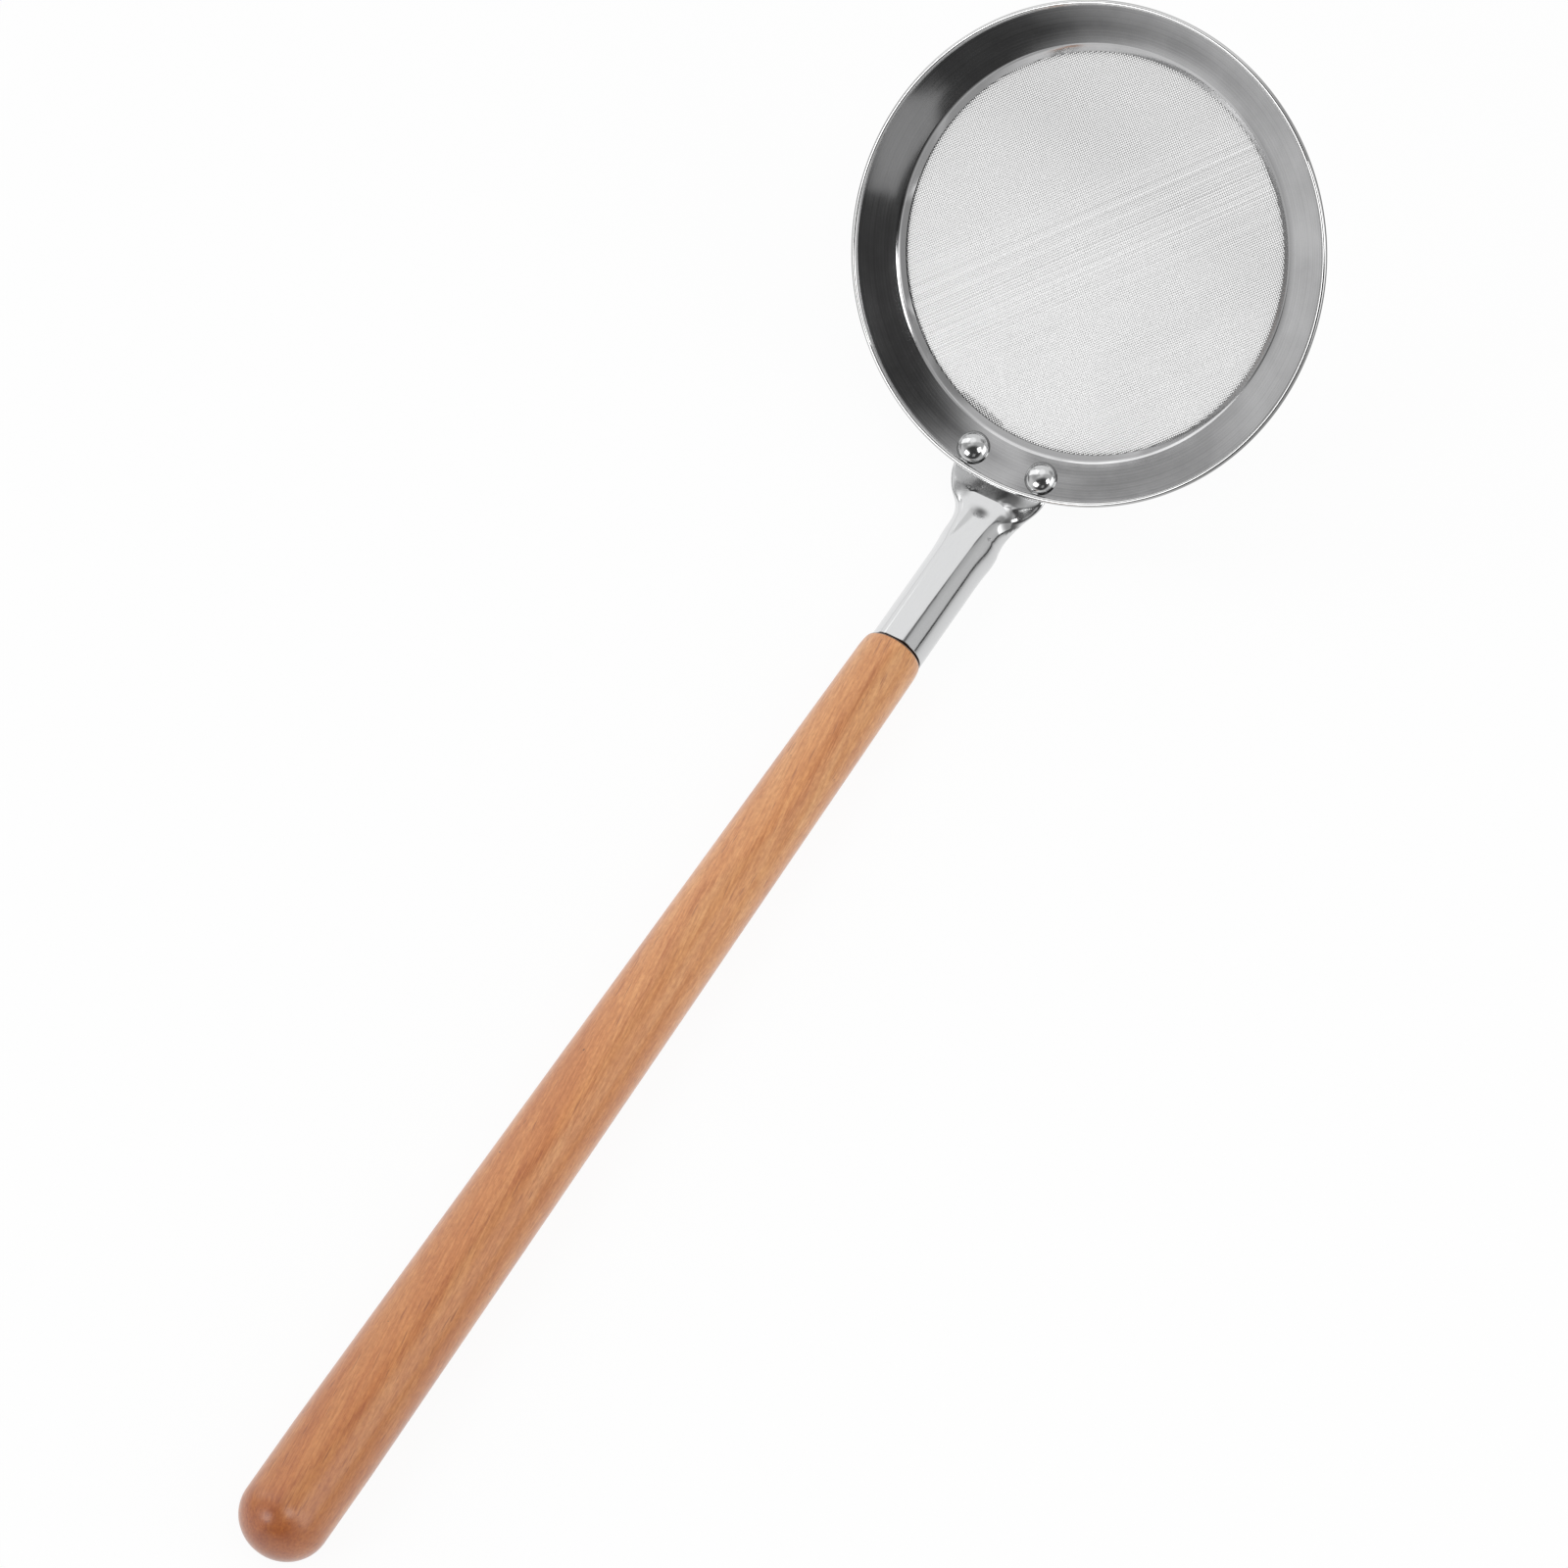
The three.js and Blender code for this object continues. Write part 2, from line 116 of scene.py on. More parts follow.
class FerruleSizes(bpy.types.PropertyGroup):
    """Sizes of the ferrule and the rivets, along the handle from the point under the rim."""

    tube_radius: length("Tube radius", "Outer radius of the tube", 0.0075)
    tube_offset: length("Tube offset", "How far the tube stands to the right of the pan's middle", 0.00035)
    joint_gap: length("Joint gap", "How far the tube stops short of the wood", 0.00035)
    tube_wall: length("Tube wall", "Thickness of the tube's sheet", 0.001)
    tube_end: length("Tube end", "Where the tube ends at the wood", 0.0599)
    neck_start: length("Neck start", "Where the tube starts to flatten", 0.026)
    neck_end: length("Neck end", "Where the flat top bends up into the flange", 0.0098)
    flange_width: length("Flange width", "Width of the flange under the rim", 0.0272)
    flange_sheet: length("Flange sheet", "Thickness of the flange", 0.0016)
    flange_gap: length("Flange gap", "Gap between the flange and the wall", 0.0001)
    flange_inset: length("Flange inset", "How far the flange runs in from the rim", 0.0092)
    rivet_inset: length("Rivet inset", "How far in from the rim the rivets sit", 0.0057)
    rivet_spacing: length("Rivet spacing", "Distance between the two rivets", 0.0202)
    head_radius: length("Head radius", "Radius of a rivet's head", 0.0041)
    head_height: length("Head height", "Height of a rivet's head", 0.0021)
    shank_radius: length("Shank radius", "Radius of a rivet's shank", 0.002)
    flat_shift: length("Flat shift", "How far the pressed flat stands to the left at the crease", 0.0016)
    crease_drop: length("Crease drop", "How far the flange dips where it leaves the flat top", 0.00044)
    rise: angle("Rise", "Angle between the handle and the pan's rim", 41.5)
    axis_drop: length("Axis drop", "How far under the rim the handle's axis passes", 0.012)


class HandleSizes(bpy.types.PropertyGroup):
    """Sizes of the wooden handle, and how it lies on the table."""

    wood_length: length("Wood length", "Length of the wood outside the ferrule", 0.2958)
    front_radius: length("Front radius", "Radius of the wood next to the ferrule", 0.0084)
    butt_radius: length("Butt radius", "Radius of the wood at the butt", 0.0115)
    round_over: length("Round-over", "Length of the rounded end next to the ferrule", 0.0045)
    shoulder: length("Shoulder", "Radius of the wood's end face", 0.0078)
    butt_straight: length("Straight butt", "Length of the part of the butt that doesn't taper", 0.021)
    butt_dome: length("Butt dome", "Length of the rounded butt", 0.011)
    tenon: length("Tenon", "Length of the wood inside the ferrule", 0.034)
    lean: angle("Lean", "Turn that lays the taper flat on the table", -0.68495)
    origin: place("Origin", "Point of the axis under the rim", (0.0, 0.132341, 0.007626))


class Finishes(bpy.types.PropertyGroup):
    """Colours of the finishes."""

    pan_steel: colour("Pan steel", "Satin steel of the pan", (0.55, 0.55, 0.555))
    rim_steel: colour("Rim steel", "Burnished steel of the rolled rim", (0.6, 0.6, 0.6))
    wire_steel: colour("Wire steel", "Steel of the woven wires", (0.81, 0.81, 0.81))
    polished_steel: colour("Polished steel", "Steel of the ferrule and rivets", (0.76, 0.765, 0.77))
    beech: colour("Beech", "Middle tone of the lacquered wood", (0.77, 0.33, 0.117))
    beech_dark: colour("Dark beech", "Darker bands of the wood", (0.665, 0.255, 0.083))
    beech_light: colour("Light beech", "Paler bands of the wood", (0.845, 0.412, 0.168))
    floor: colour("Floor", "Pale studio floor", (0.94, 0.94, 0.94))


class StageSizes(bpy.types.PropertyGroup):
    """Camera, floor and lamps."""

    camera_place: place("Camera place", "Where the camera stands", (0.643811, -0.838621, 1.714442))
    camera_turn: bpy.props.FloatVectorProperty(
        name="Camera turn",
        description="How the camera is turned",
        default=(math.radians(32.14586), math.radians(3.55622), math.radians(31.23596)),
        size=3,
        subtype="EULER",
    )
    lens: bpy.props.FloatProperty(name="Lens", description="Focal length for a 36 mm frame", default=182.725)
    floor_size: length("Floor size", "Width of the floor", 24.0)
    lamp_distance: length("Lamp distance", "Distance of the lamps from the skimmer", 3.0)


GROUPS = {
    "skimmer_pan": PanSizes,
    "skimmer_mesh": MeshSizes,
    "skimmer_ferrule": FerruleSizes,
    "skimmer_handle": HandleSizes,
    "skimmer_finish": Finishes,
    "skimmer_stage": StageSizes,
}

# name, azimuth and elevation in degrees, width and height in metres, brightness
LAMPS = (
    ("key_lamp", -24, 34, 1.0, 1.0, 4.3),
    ("left_lamp", -88, 38, 1.0, 2.3, 1.0),
    ("right_lamp", 53, 60, 0.8, 1.0, 4.5),
    ("right_panel", 90, 30, 2.2, 2.4, 1.3),
    ("back_lamp", -150, 54, 4.2, 3.8, 0.36),
    ("camera_side_lamp", 15.5, 36.6, 0.6, 0.8, 0.37),
)
LAMP_AIM = Vector((0.0, 0.08, 0.04))

# azimuth and elevation of a round patch of the room, its inner and outer angle in degrees, brightness
ROOM_PATCHES = (
    (-117, 8, 14, 26, 0.95),
    (-50, 16, 8, 26, 0.85),
    (-50, 66, 5, 13, 0.88),
    (-61, 46, 5, 12, 0.47),
    (-68, 61, 2, 8, 0.42),
    (-102, 70, 8, 15, 1.0),
    (-71, 7, 6, 17, 0.25),
    (-13, 7, 5, 15, 0.44),
    (10, 42, 28, 42, 0.06),
    (150, 58, 6, 15, 0.1),
)
ROOM_LEVEL = 0.6
FLOOR_LEVEL = 0.8
GAP_LEVEL = 0.06

# near-black colour of the painted shade on the metal
PAINTED_SHADE = (0.03, 0.03, 0.03)
HALVINGS = 40


def clamp(value):
    """Hold a value between 0 and 1."""
    return min(1.0, max(0.0, value))


def eased(value):
    """Hold a value between 0 and 1 and ease it at both ends."""
    part = clamp(value)
    return part * part * (3 - 2 * part)


def soft_spot(x, y, spot, power=2.0):
    """Share of a soft round spot, given by its centre and its reach: 1 in the middle, 0 well outside."""
    centre, reach = spot
    away = ((x - centre[0]) / reach[0]) ** 2 + ((y - centre[1]) / reach[1]) ** 2
    return math.exp(-(away**power))


def scaled(tone, share):
    """A share of a colour."""
    return [part * share for part in tone]


def clear_selection():
    """Leave edit mode and deselect everything."""
    if bpy.context.mode != "OBJECT":
        bpy.ops.object.mode_set(mode="OBJECT")
    bpy.ops.object.select_all(action="DESELECT")


def only(piece):
    """Make one piece the only selected and active object."""
    clear_selection()
    piece.select_set(True)
    bpy.context.view_layer.objects.active = piece


def apply_modifier(piece, kind, **settings):
    """Add a modifier with the given settings and apply it."""
    only(piece)
    bpy.ops.object.modifier_add(type=kind)
    modifier = piece.modifiers[-1]
    for key, value in settings.items():
        setattr(modifier, key, value)
    bpy.ops.object.modifier_apply(modifier=modifier.name)


def settle(piece, matrix):
    """Put a piece in its place and leave its object unturned at the origin."""
    only(piece)
    piece.matrix_world = matrix
    bpy.ops.object.transform_apply(location=True, rotation=True, scale=True)


def finish_piece(piece, name, material, node, smooth_degrees):
    """Name a piece, give it its finish and fix it to the frame in the place of its node."""
    only(piece)
    piece.name = name
    piece.data.name = name
    piece.data.materials.clear()
    piece.data.materials.append(material)
    bpy.ops.object.shade_smooth_by_angle(angle=math.radians(smooth_degrees))
    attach(piece, "root")
    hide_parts(node)


def choose_points(piece, rule):
    """Enter edit mode with only those points selected that a rule chooses by their place."""
    only(piece)
    bpy.ops.object.mode_set(mode="EDIT")
    bpy.ops.mesh.select_mode(type="VERT")
    bpy.ops.mesh.select_all(action="DESELECT")
    mesh = bmesh.from_edit_mesh(piece.data)
    for vertex in mesh.verts:
        vertex.select = rule(vertex.co)
    mesh.select_flush_mode()
    bmesh.update_edit_mesh(piece.data)


def keep(piece, name, matrix, rule):
    """Keep a vector on each point, given by a rule on its place in the piece's own axes."""
    back = matrix.inverted()
    kept = piece.data.attributes.new(name, "FLOAT_VECTOR", "POINT")
    for vertex, value in zip(piece.data.vertices, kept.data):
        value.vector = rule(back @ vertex.co)


def arc(centre, radius, start, end, steps):
    """Points on an arc, both ends included."""
    points = []
    for step in range(steps + 1):
        turn_by = start + (end - start) * step / steps
        points.append((centre[0] + radius * math.cos(turn_by), centre[1] + radius * math.sin(turn_by)))
    return points


def quarter_turn(steps):
    """Sines and cosines at even steps from 0 to a right angle, both ends included."""
    turns = [step / steps * math.pi / 2 for step in range(steps + 1)]
    return [(math.sin(turn_by), math.cos(turn_by)) for turn_by in turns]


def face_outwards():
    """Turn all faces of the piece in edit mode outwards and leave edit mode."""
    bpy.ops.mesh.select_all(action="SELECT")
    bpy.ops.mesh.normals_make_consistent(inside=False)
    bpy.ops.object.mode_set(mode="OBJECT")


def turned(outline, steps, closed):
    """Spin an outline of (radius, height) points about Z. An open outline starts and ends on the axis."""
    clear_selection()
    bpy.ops.mesh.primitive_circle_add(vertices=len(outline), radius=0.01)
    piece = bpy.context.object
    for vertex, (radius, height) in zip(piece.data.vertices, outline):
        vertex.co = (radius, 0.0, height)
    bpy.ops.object.mode_set(mode="EDIT")
    if not closed:
        bpy.ops.mesh.select_mode(type="EDGE")
        bpy.ops.mesh.select_all(action="DESELECT")
        mesh = bmesh.from_edit_mesh(piece.data)
        mesh.verts.ensure_lookup_table()
        last = mesh.edges.get((mesh.verts[0], mesh.verts[len(outline) - 1]))
        last.select_set(True)
        bmesh.update_edit_mesh(piece.data)
        bpy.ops.mesh.delete(type="EDGE")
        bpy.ops.mesh.select_mode(type="VERT")
    bpy.ops.mesh.select_all(action="SELECT")
    bpy.ops.mesh.spin(steps=steps, angle=2 * math.pi, center=(0, 0, 0), axis=(0, 0, 1))
    bpy.ops.mesh.select_all(action="SELECT")
    bpy.ops.mesh.remove_doubles(threshold=1e-7)
    face_outwards()
    return piece


def skinned(rings):
    """Extrude a closed outline through a row of rings that all have the same number of points."""
    clear_selection()
    bpy.ops.mesh.primitive_circle_add(vertices=len(rings[0]), radius=0.01, fill_type="NGON")
    piece = bpy.context.object
    bpy.ops.object.mode_set(mode="EDIT")
    bpy.ops.mesh.select_mode(type="FACE")
    mesh = bmesh.from_edit_mesh(piece.data)
    order = mesh.verts.layers.int.new("order")
    for vertex in mesh.verts:
        vertex[order] = vertex.index
        vertex.co = rings[0][vertex.index]
    bmesh.update_edit_mesh(piece.data)
    bpy.ops.mesh.select_all(action="SELECT")
    for ring in rings[1:]:
        bpy.ops.mesh.extrude_region()
        mesh = bmesh.from_edit_mesh(piece.data)
        order = mesh.verts.layers.int["order"]
        for vertex in mesh.verts:
            if vertex.select:
                vertex.co = ring[vertex[order]]
        bmesh.update_edit_mesh(piece.data)
    face_outwards()
    piece.data.attributes.remove(piece.data.attributes["order"])
    return piece


def drill(piece, cutters):
    """Cut the cutters out of a piece and delete them."""
    for cutter in cutters:
        apply_modifier(piece, "BOOLEAN", operation="DIFFERENCE", solver="EXACT", object=cutter)
    for cutter in cutters:
        only(cutter)
        bpy.ops.object.delete()


class PanLines:
    """Lines of the pan's section, worked out from its sizes."""

    bead_reach = 0.9
    dish_steps = 14
    kink_run = 0.00003

    def __init__(self, pan):
        self.pan = pan
        self.mesh_radius = pan.rim_radius - pan.wall_width
        self.bead = (pan.rim_radius - pan.bead_radius, -pan.bead_radius)
        self.lip = (self.mesh_radius + pan.lip_radius, pan.clearance - pan.mesh_depth)
        run = self.bead[0] - self.bead_reach * pan.bead_radius - self.lip[0]
        rise = -pan.wall_drop - self.lip[1]
        self.slope = math.atan2(rise, run) - math.asin(pan.lip_radius / math.hypot(run, rise))
        self.square = math.pi / 2 + self.slope

    def lip_outline(self):
        """Points up the lip: its foot on the mesh, a straight band, a bend and the dished wall."""
        foot = self.pan.lip_foot
        turn_by = math.pi / 2 + self.pan.lip_slope
        edge = arc((self.mesh_radius + foot, self.lip[1]), foot, math.radians(178), turn_by, 5)
        low = self.mesh_radius + 0.001
        high = self.mesh_radius + 0.005
        for _ in range(HALVINGS):
            start = (low + high) / 2
            curve = self.dished(start)
            last = curve[-1]
            reach = last[0] - (last[1] - edge[-1][1]) / math.tan(self.pan.lip_slope)
            if reach > edge[-1][0]:
                high = start
            else:
                low = start
        return edge + curve[::-1]

    def dished(self, start):
        """Points in along the wall, which curves down a little, over the shoulder and round the bend."""
        pan = self.pan
        outer = pan.rim_radius - pan.dish_width
        points = [(outer, self.wall(outer))]
        run = (outer - start) / self.dish_steps
        for step in range(self.dish_steps):
            lean = self.slope + pan.dish_slope * (step + 0.5) / self.dish_steps
            points.append((points[-1][0] - run, points[-1][1] - run * math.tan(lean)))
        lean = self.slope + pan.dish_slope
        points.append((points[-1][0] - self.kink_run, points[-1][1] - self.kink_run * math.tan(lean)))
        lean += pan.shoulder_kink
        for end, radius in ((lean + pan.shoulder_turn, pan.lip_shoulder), (pan.lip_slope, pan.lip_bend)):
            centre = (points[-1][0] + radius * math.sin(lean), points[-1][1] - radius * math.cos(lean))
            points += arc(centre, radius, math.pi / 2 + lean, math.pi / 2 + end, 8)[1:]
            lean = end
        return points

    def wall(self, radius, depth=0.0):
        """Height of the wall's upper face, or of a face under it by a depth measured square to it."""
        start = arc(self.lip, self.pan.lip_radius, self.square, self.square, 1)[0]
        return start[1] + (radius - start[0]) * math.tan(self.slope) - depth / math.cos(self.slope)

    def rolled_rim(self, under):
        """Points up the curve at the end of the wall and over the roll, to where the underside leaves it."""
        roll = self.pan.rim_roll
        fillet = self.pan.rim_fillet
        top = (self.pan.rim_radius - roll, -roll)
        low = self.mesh_radius
        high = top[0]
        for _ in range(HALVINGS):
            radius = (low + high) / 2
            rise = self.wall(radius) + fillet * math.cos(self.slope)
            gap = (top[0] - radius + fillet * math.sin(self.slope), top[1] - rise)
            if math.hypot(*gap) > fillet + roll:
                low = radius
            else:
                high = radius
        touch = math.atan2(gap[1], gap[0])
        points = arc((top[0] - gap[0], rise), fillet, self.slope - math.pi / 2, touch, 10)
        gap = (top[0] - under[0], top[1] - under[1])
        leave = math.atan2(gap[1], gap[0]) - math.asin(roll / math.hypot(*gap)) - math.pi / 2
        return points + arc(top, roll, touch + math.pi, leave, 24)[1:]


def pan_matrix(pan):
    """From the pan's own axes to the frame's."""
    return Matrix.Translation(pan.centre) @ Matrix.Rotation(pan.tilt, 4, "X")


def rivet_matrix(scene, side):
    """From a rivet's own axes to the frame's: it stands square on the pan's wall."""
    pan = scene.skimmer_pan
    ferrule = scene.skimmer_ferrule
    lines = PanLines(pan)
    radius = pan.rim_radius - ferrule.rivet_inset
    turn_by = side * math.asin(ferrule.rivet_spacing / 2 / radius)
    seat = Matrix.Rotation(turn_by, 4, "Z") @ Matrix.Translation((0, -radius, lines.wall(radius)))
    return pan_matrix(pan) @ seat @ Matrix.Rotation(-lines.slope, 4, "X")


def rivet_drills(scene):
    """Two rods that cut the holes for the rivets' shanks, with a little room round them."""
    radius = scene.skimmer_ferrule.shank_radius + 0.0001
    rods = []
    for side in (-1, 1):
        clear_selection()
        bpy.ops.mesh.primitive_cylinder_add(vertices=32, radius=radius, depth=0.014)
        rod = bpy.context.object
        settle(rod, rivet_matrix(scene, side))
        rods.append(rod)
    return rods


def handle_matrix(handle):
    """From the handle's own axes, with its axis along Y, to the frame's."""
    return Matrix.Translation(handle.origin) @ Matrix.Rotation(handle.lean, 4, "X")


class Nodes:
    """A node tree under construction, with the kinds of node that the finishes and the room share."""

    def __init__(self, owner):
        owner.use_nodes = True
        self.tree = owner.node_tree

    def add(self, kind):
        """A new node."""
        return self.tree.nodes.new("ShaderNode" + kind)

    def feed(self, socket, value):
        """Give a socket a link from another socket, or a colour, or a number."""
        if isinstance(value, bpy.types.NodeSocket):
            self.tree.links.new(value, socket)
        elif socket.type == "RGBA":
            socket.default_value = (*value[:3], 1.0)
        else:
            socket.default_value = value

    def split(self, vector):
        """The three parts of a vector."""
        node = self.add("SeparateXYZ")
        self.feed(node.inputs["Vector"], vector)
        return node.outputs["X"], node.outputs["Y"], node.outputs["Z"]

    def grain(self, vector, scale, detail, roughness, distortion=0.0):
        """Noise that is stretched by a different scale along each axis."""
        mapping = self.add("Mapping")
        self.feed(mapping.inputs["Vector"], vector)
        mapping.inputs["Scale"].default_value = scale
        texture = self.add("TexNoise")
        self.feed(texture.inputs["Vector"], mapping.outputs["Vector"])
        texture.inputs["Scale"].default_value = 1.0
        texture.inputs["Detail"].default_value = detail
        texture.inputs["Roughness"].default_value = roughness
        texture.inputs["Distortion"].default_value = distortion
        return texture.outputs["Fac"]

    def ramp(self, value, low, high, new_low=0.0, new_high=1.0, smooth=False):
        """Map a range of values onto another, held at both ends."""
        node = self.add("MapRange")
        node.interpolation_type = "SMOOTHSTEP" if smooth else "LINEAR"
        self.feed(node.inputs["Value"], value)
        node.inputs["From Min"].default_value = low
        node.inputs["From Max"].default_value = high
        node.inputs["To Min"].default_value = new_low
        node.inputs["To Max"].default_value = new_high
        return node.outputs["Result"]

    def mix(self, factor, first, second, blend="MIX"):
        """Mix two colours by a factor."""
        node = self.add("Mix")
        node.data_type = "RGBA"
        node.blend_type = blend
        sockets = {socket.identifier: socket for socket in node.inputs}
        self.feed(sockets["Factor_Float"], factor)
        self.feed(sockets["A_Color"], first)
        self.feed(sockets["B_Color"], second)
        return next(socket for socket in node.outputs if socket.identifier == "Result_Color")

    def combine(self, operation, first, second):
        """Combine two values."""
        node = self.add("Math")
        node.operation = operation
        self.feed(node.inputs[0], first)
        self.feed(node.inputs[1], second)
        return node.outputs["Value"]

    def plus(self, first, second):
        """The sum of two values."""
        return self.combine("ADD", first, second)

    def times(self, first, second):
        """The product of two values."""
        return self.combine("MULTIPLY", first, second)


class Finish(Nodes):
    """A material with one main shader, and the Object coordinates."""

    def __init__(self, name, metallic):
        self.material = bpy.data.materials.new(name)
        super().__init__(self.material)
        self.shader = self.tree.nodes["Principled BSDF"]
        self.shader.inputs["Metallic"].default_value = metallic
        self.coordinates = self.add("TexCoord").outputs["Object"]

    def kept(self, name):
        """The three parts of a vector that was kept on the points of a piece, and the vector."""
        node = self.add("Attribute")
        node.attribute_name = name
        return *self.split(node.outputs["Vector"]), node.outputs["Vector"]

    def colour(self, tone):
        """Give the shader its colour."""
        self.feed(self.shader.inputs["Base Color"], tone)

    def roughness(self, value):
        """Give the shader its roughness."""
        self.feed(self.shader.inputs["Roughness"], value)

    def bump(self, height, strength, distance):
        """Raise the surface by a height pattern."""
        node = self.add("Bump")
        node.inputs["Strength"].default_value = strength
        node.inputs["Distance"].default_value = distance
        self.feed(node.inputs["Height"], height)
        self.feed(self.shader.inputs["Normal"], node.outputs["Normal"])


def lathe_place(spot):
    """Distance from the pan's axis, side from -1 at the handle to 1 at the far end, and height."""
    return spot.xy.length, spot.y / spot.xy.length, spot.z


def satin_steel(name, tone, rim_tone, rim, hem, low, high):
    """Pressed sheet, brushed round and round, with faint smudges and a burnished rim, and painted shade on
    the lip near the mesh and on the rim's far sides.
    """
    nodes = Finish(name, 1.0)
    radius, side, _, lathe = nodes.kept("lathe")
    x = nodes.split(nodes.coordinates)[0]
    lines = nodes.grain(lathe, (3000, 0, 3000), 3.0, 0.65)
    smudge = nodes.grain(nodes.coordinates, (75, 75, 75), 4.0, 0.6)
    edge = hem[1]
    # masks of painted shade: the lip's bend and edge on the left, the wall by the lip on the right
    near_left = nodes.ramp(side, -0.06, -0.15)
    left = nodes.times(near_left, nodes.ramp(x, -0.0385, -0.043))
    bend = nodes.ramp(radius, edge + 0.0006, edge + 0.001, 1.0, 0.0)
    bend = nodes.times(bend, nodes.ramp(side, -0.42, -0.28))
    right = nodes.times(nodes.ramp(x, 0.02, 0.032), nodes.ramp(side, -0.25, 0.1))
    steel = nodes.mix(nodes.ramp(nodes.plus(lines, smudge), 0.78, 1.22), scaled(tone, 0.8), tone)
    # painted shade near the mesh: where round the lip, how far out from the mesh, share of the steel's tone
    for where, out, share in (
        (nodes.ramp(side, -0.2, 0.6, 1.0, 0.0), nodes.ramp(radius, hem[0], edge, 1.0, 0.0), 0.72),
        (left, bend, 0.4),
        (left, nodes.ramp(radius, edge - 0.0004, edge, 1.0, 0.0), 0.22),
        (right, nodes.ramp(radius, edge, edge + 0.0022, 1.0, 0.0), 0.6),
    ):
        steel = nodes.mix(nodes.times(where, out), steel, scaled(tone, share))
    burnished = nodes.ramp(radius, *rim)
    # painted shade: the rim's tone is darker at its far left and right sides
    far_left = nodes.times(near_left, nodes.ramp(x, -0.046, -0.05))
    both_sides = nodes.plus(far_left, nodes.ramp(x, 0.02, 0.05))
    nodes.colour(nodes.mix(burnished, steel, nodes.mix(both_sides, rim_tone, scaled(rim_tone, 0.74))))
    streaks = nodes.plus(nodes.times(lines, 0.55), nodes.times(smudge, 0.45))
    gloss = nodes.ramp(burnished, 0.0, 1.0, 1.0, 0.4)
    nodes.roughness(nodes.times(nodes.ramp(streaks, 0.35, 0.65, low, high), gloss))
    nodes.bump(lines, 0.06, 0.00003)
    return nodes.material


def polished_metal(name, tone):
    """Polished sheet, faintly wavy from the press and the buffing wheel, with kept shares of painted shade,
    of a darker tone that is partly painted shade, and of satin.
    """
    nodes = Finish(name, 1.0)
    dark, dull_and_shade, satin, _ = nodes.kept("painted_light_and_finish")
    wave = nodes.grain(nodes.coordinates, (260, 130, 260), 2.0, 0.5)
    haze = nodes.grain(nodes.coordinates, (3200, 260, 3200), 2.0, 0.6)
    steel = nodes.mix(haze, tone, scaled(tone, 0.94))
    # painted shade from the kept dark and darker-tone shares; on the rivets the darker-tone share is their
    # own tone
    steel = nodes.mix(dull_and_shade, steel, scaled(tone, 0.6))
    nodes.colour(nodes.mix(dark, steel, PAINTED_SHADE))
    nodes.roughness(nodes.plus(nodes.ramp(haze, 0.3, 0.7, 0.09, 0.15), nodes.times(satin, 0.2)))
    nodes.bump(wave, 0.12, 0.0003)
    return nodes.material


def wire_metal(name, tone, across, streaks):
    """Drawn wire: some wires are brighter or darker than their neighbours, with painted shade at their ends
    and in bands, and a painted highlight on loose wires.
    """
    nodes = Finish(name, 1.0)
    dark, dull_and_shade, painted_highlight, _ = nodes.kept("painted_light_and_finish")
    scale = [0.0, 0.0, 0.0]
    scale[across] = 1900.0
    streak = nodes.grain(nodes.kept("weave")[-1], scale, 2.0, 0.6)
    patch = nodes.grain(nodes.coordinates, (38, 38, 38), 1.0, 0.5)
    strength = nodes.ramp(patch, 0.42, 0.6, 0.25 * streaks, streaks)
    steel = nodes.mix(nodes.times(nodes.ramp(streak, 0.36, 0.64), strength), tone, scaled(tone, 0.6))
    # painted shade in bands and at the wire ends, painted highlight on loose wires
    steel = nodes.mix(dull_and_shade, steel, scaled(tone, 0.72))
    steel = nodes.mix(painted_highlight, steel, (1.0, 1.0, 1.0))
    nodes.colour(nodes.mix(dark, steel, PAINTED_SHADE))
    nodes.shader.inputs["Roughness"].default_value = 0.3
    return nodes.material


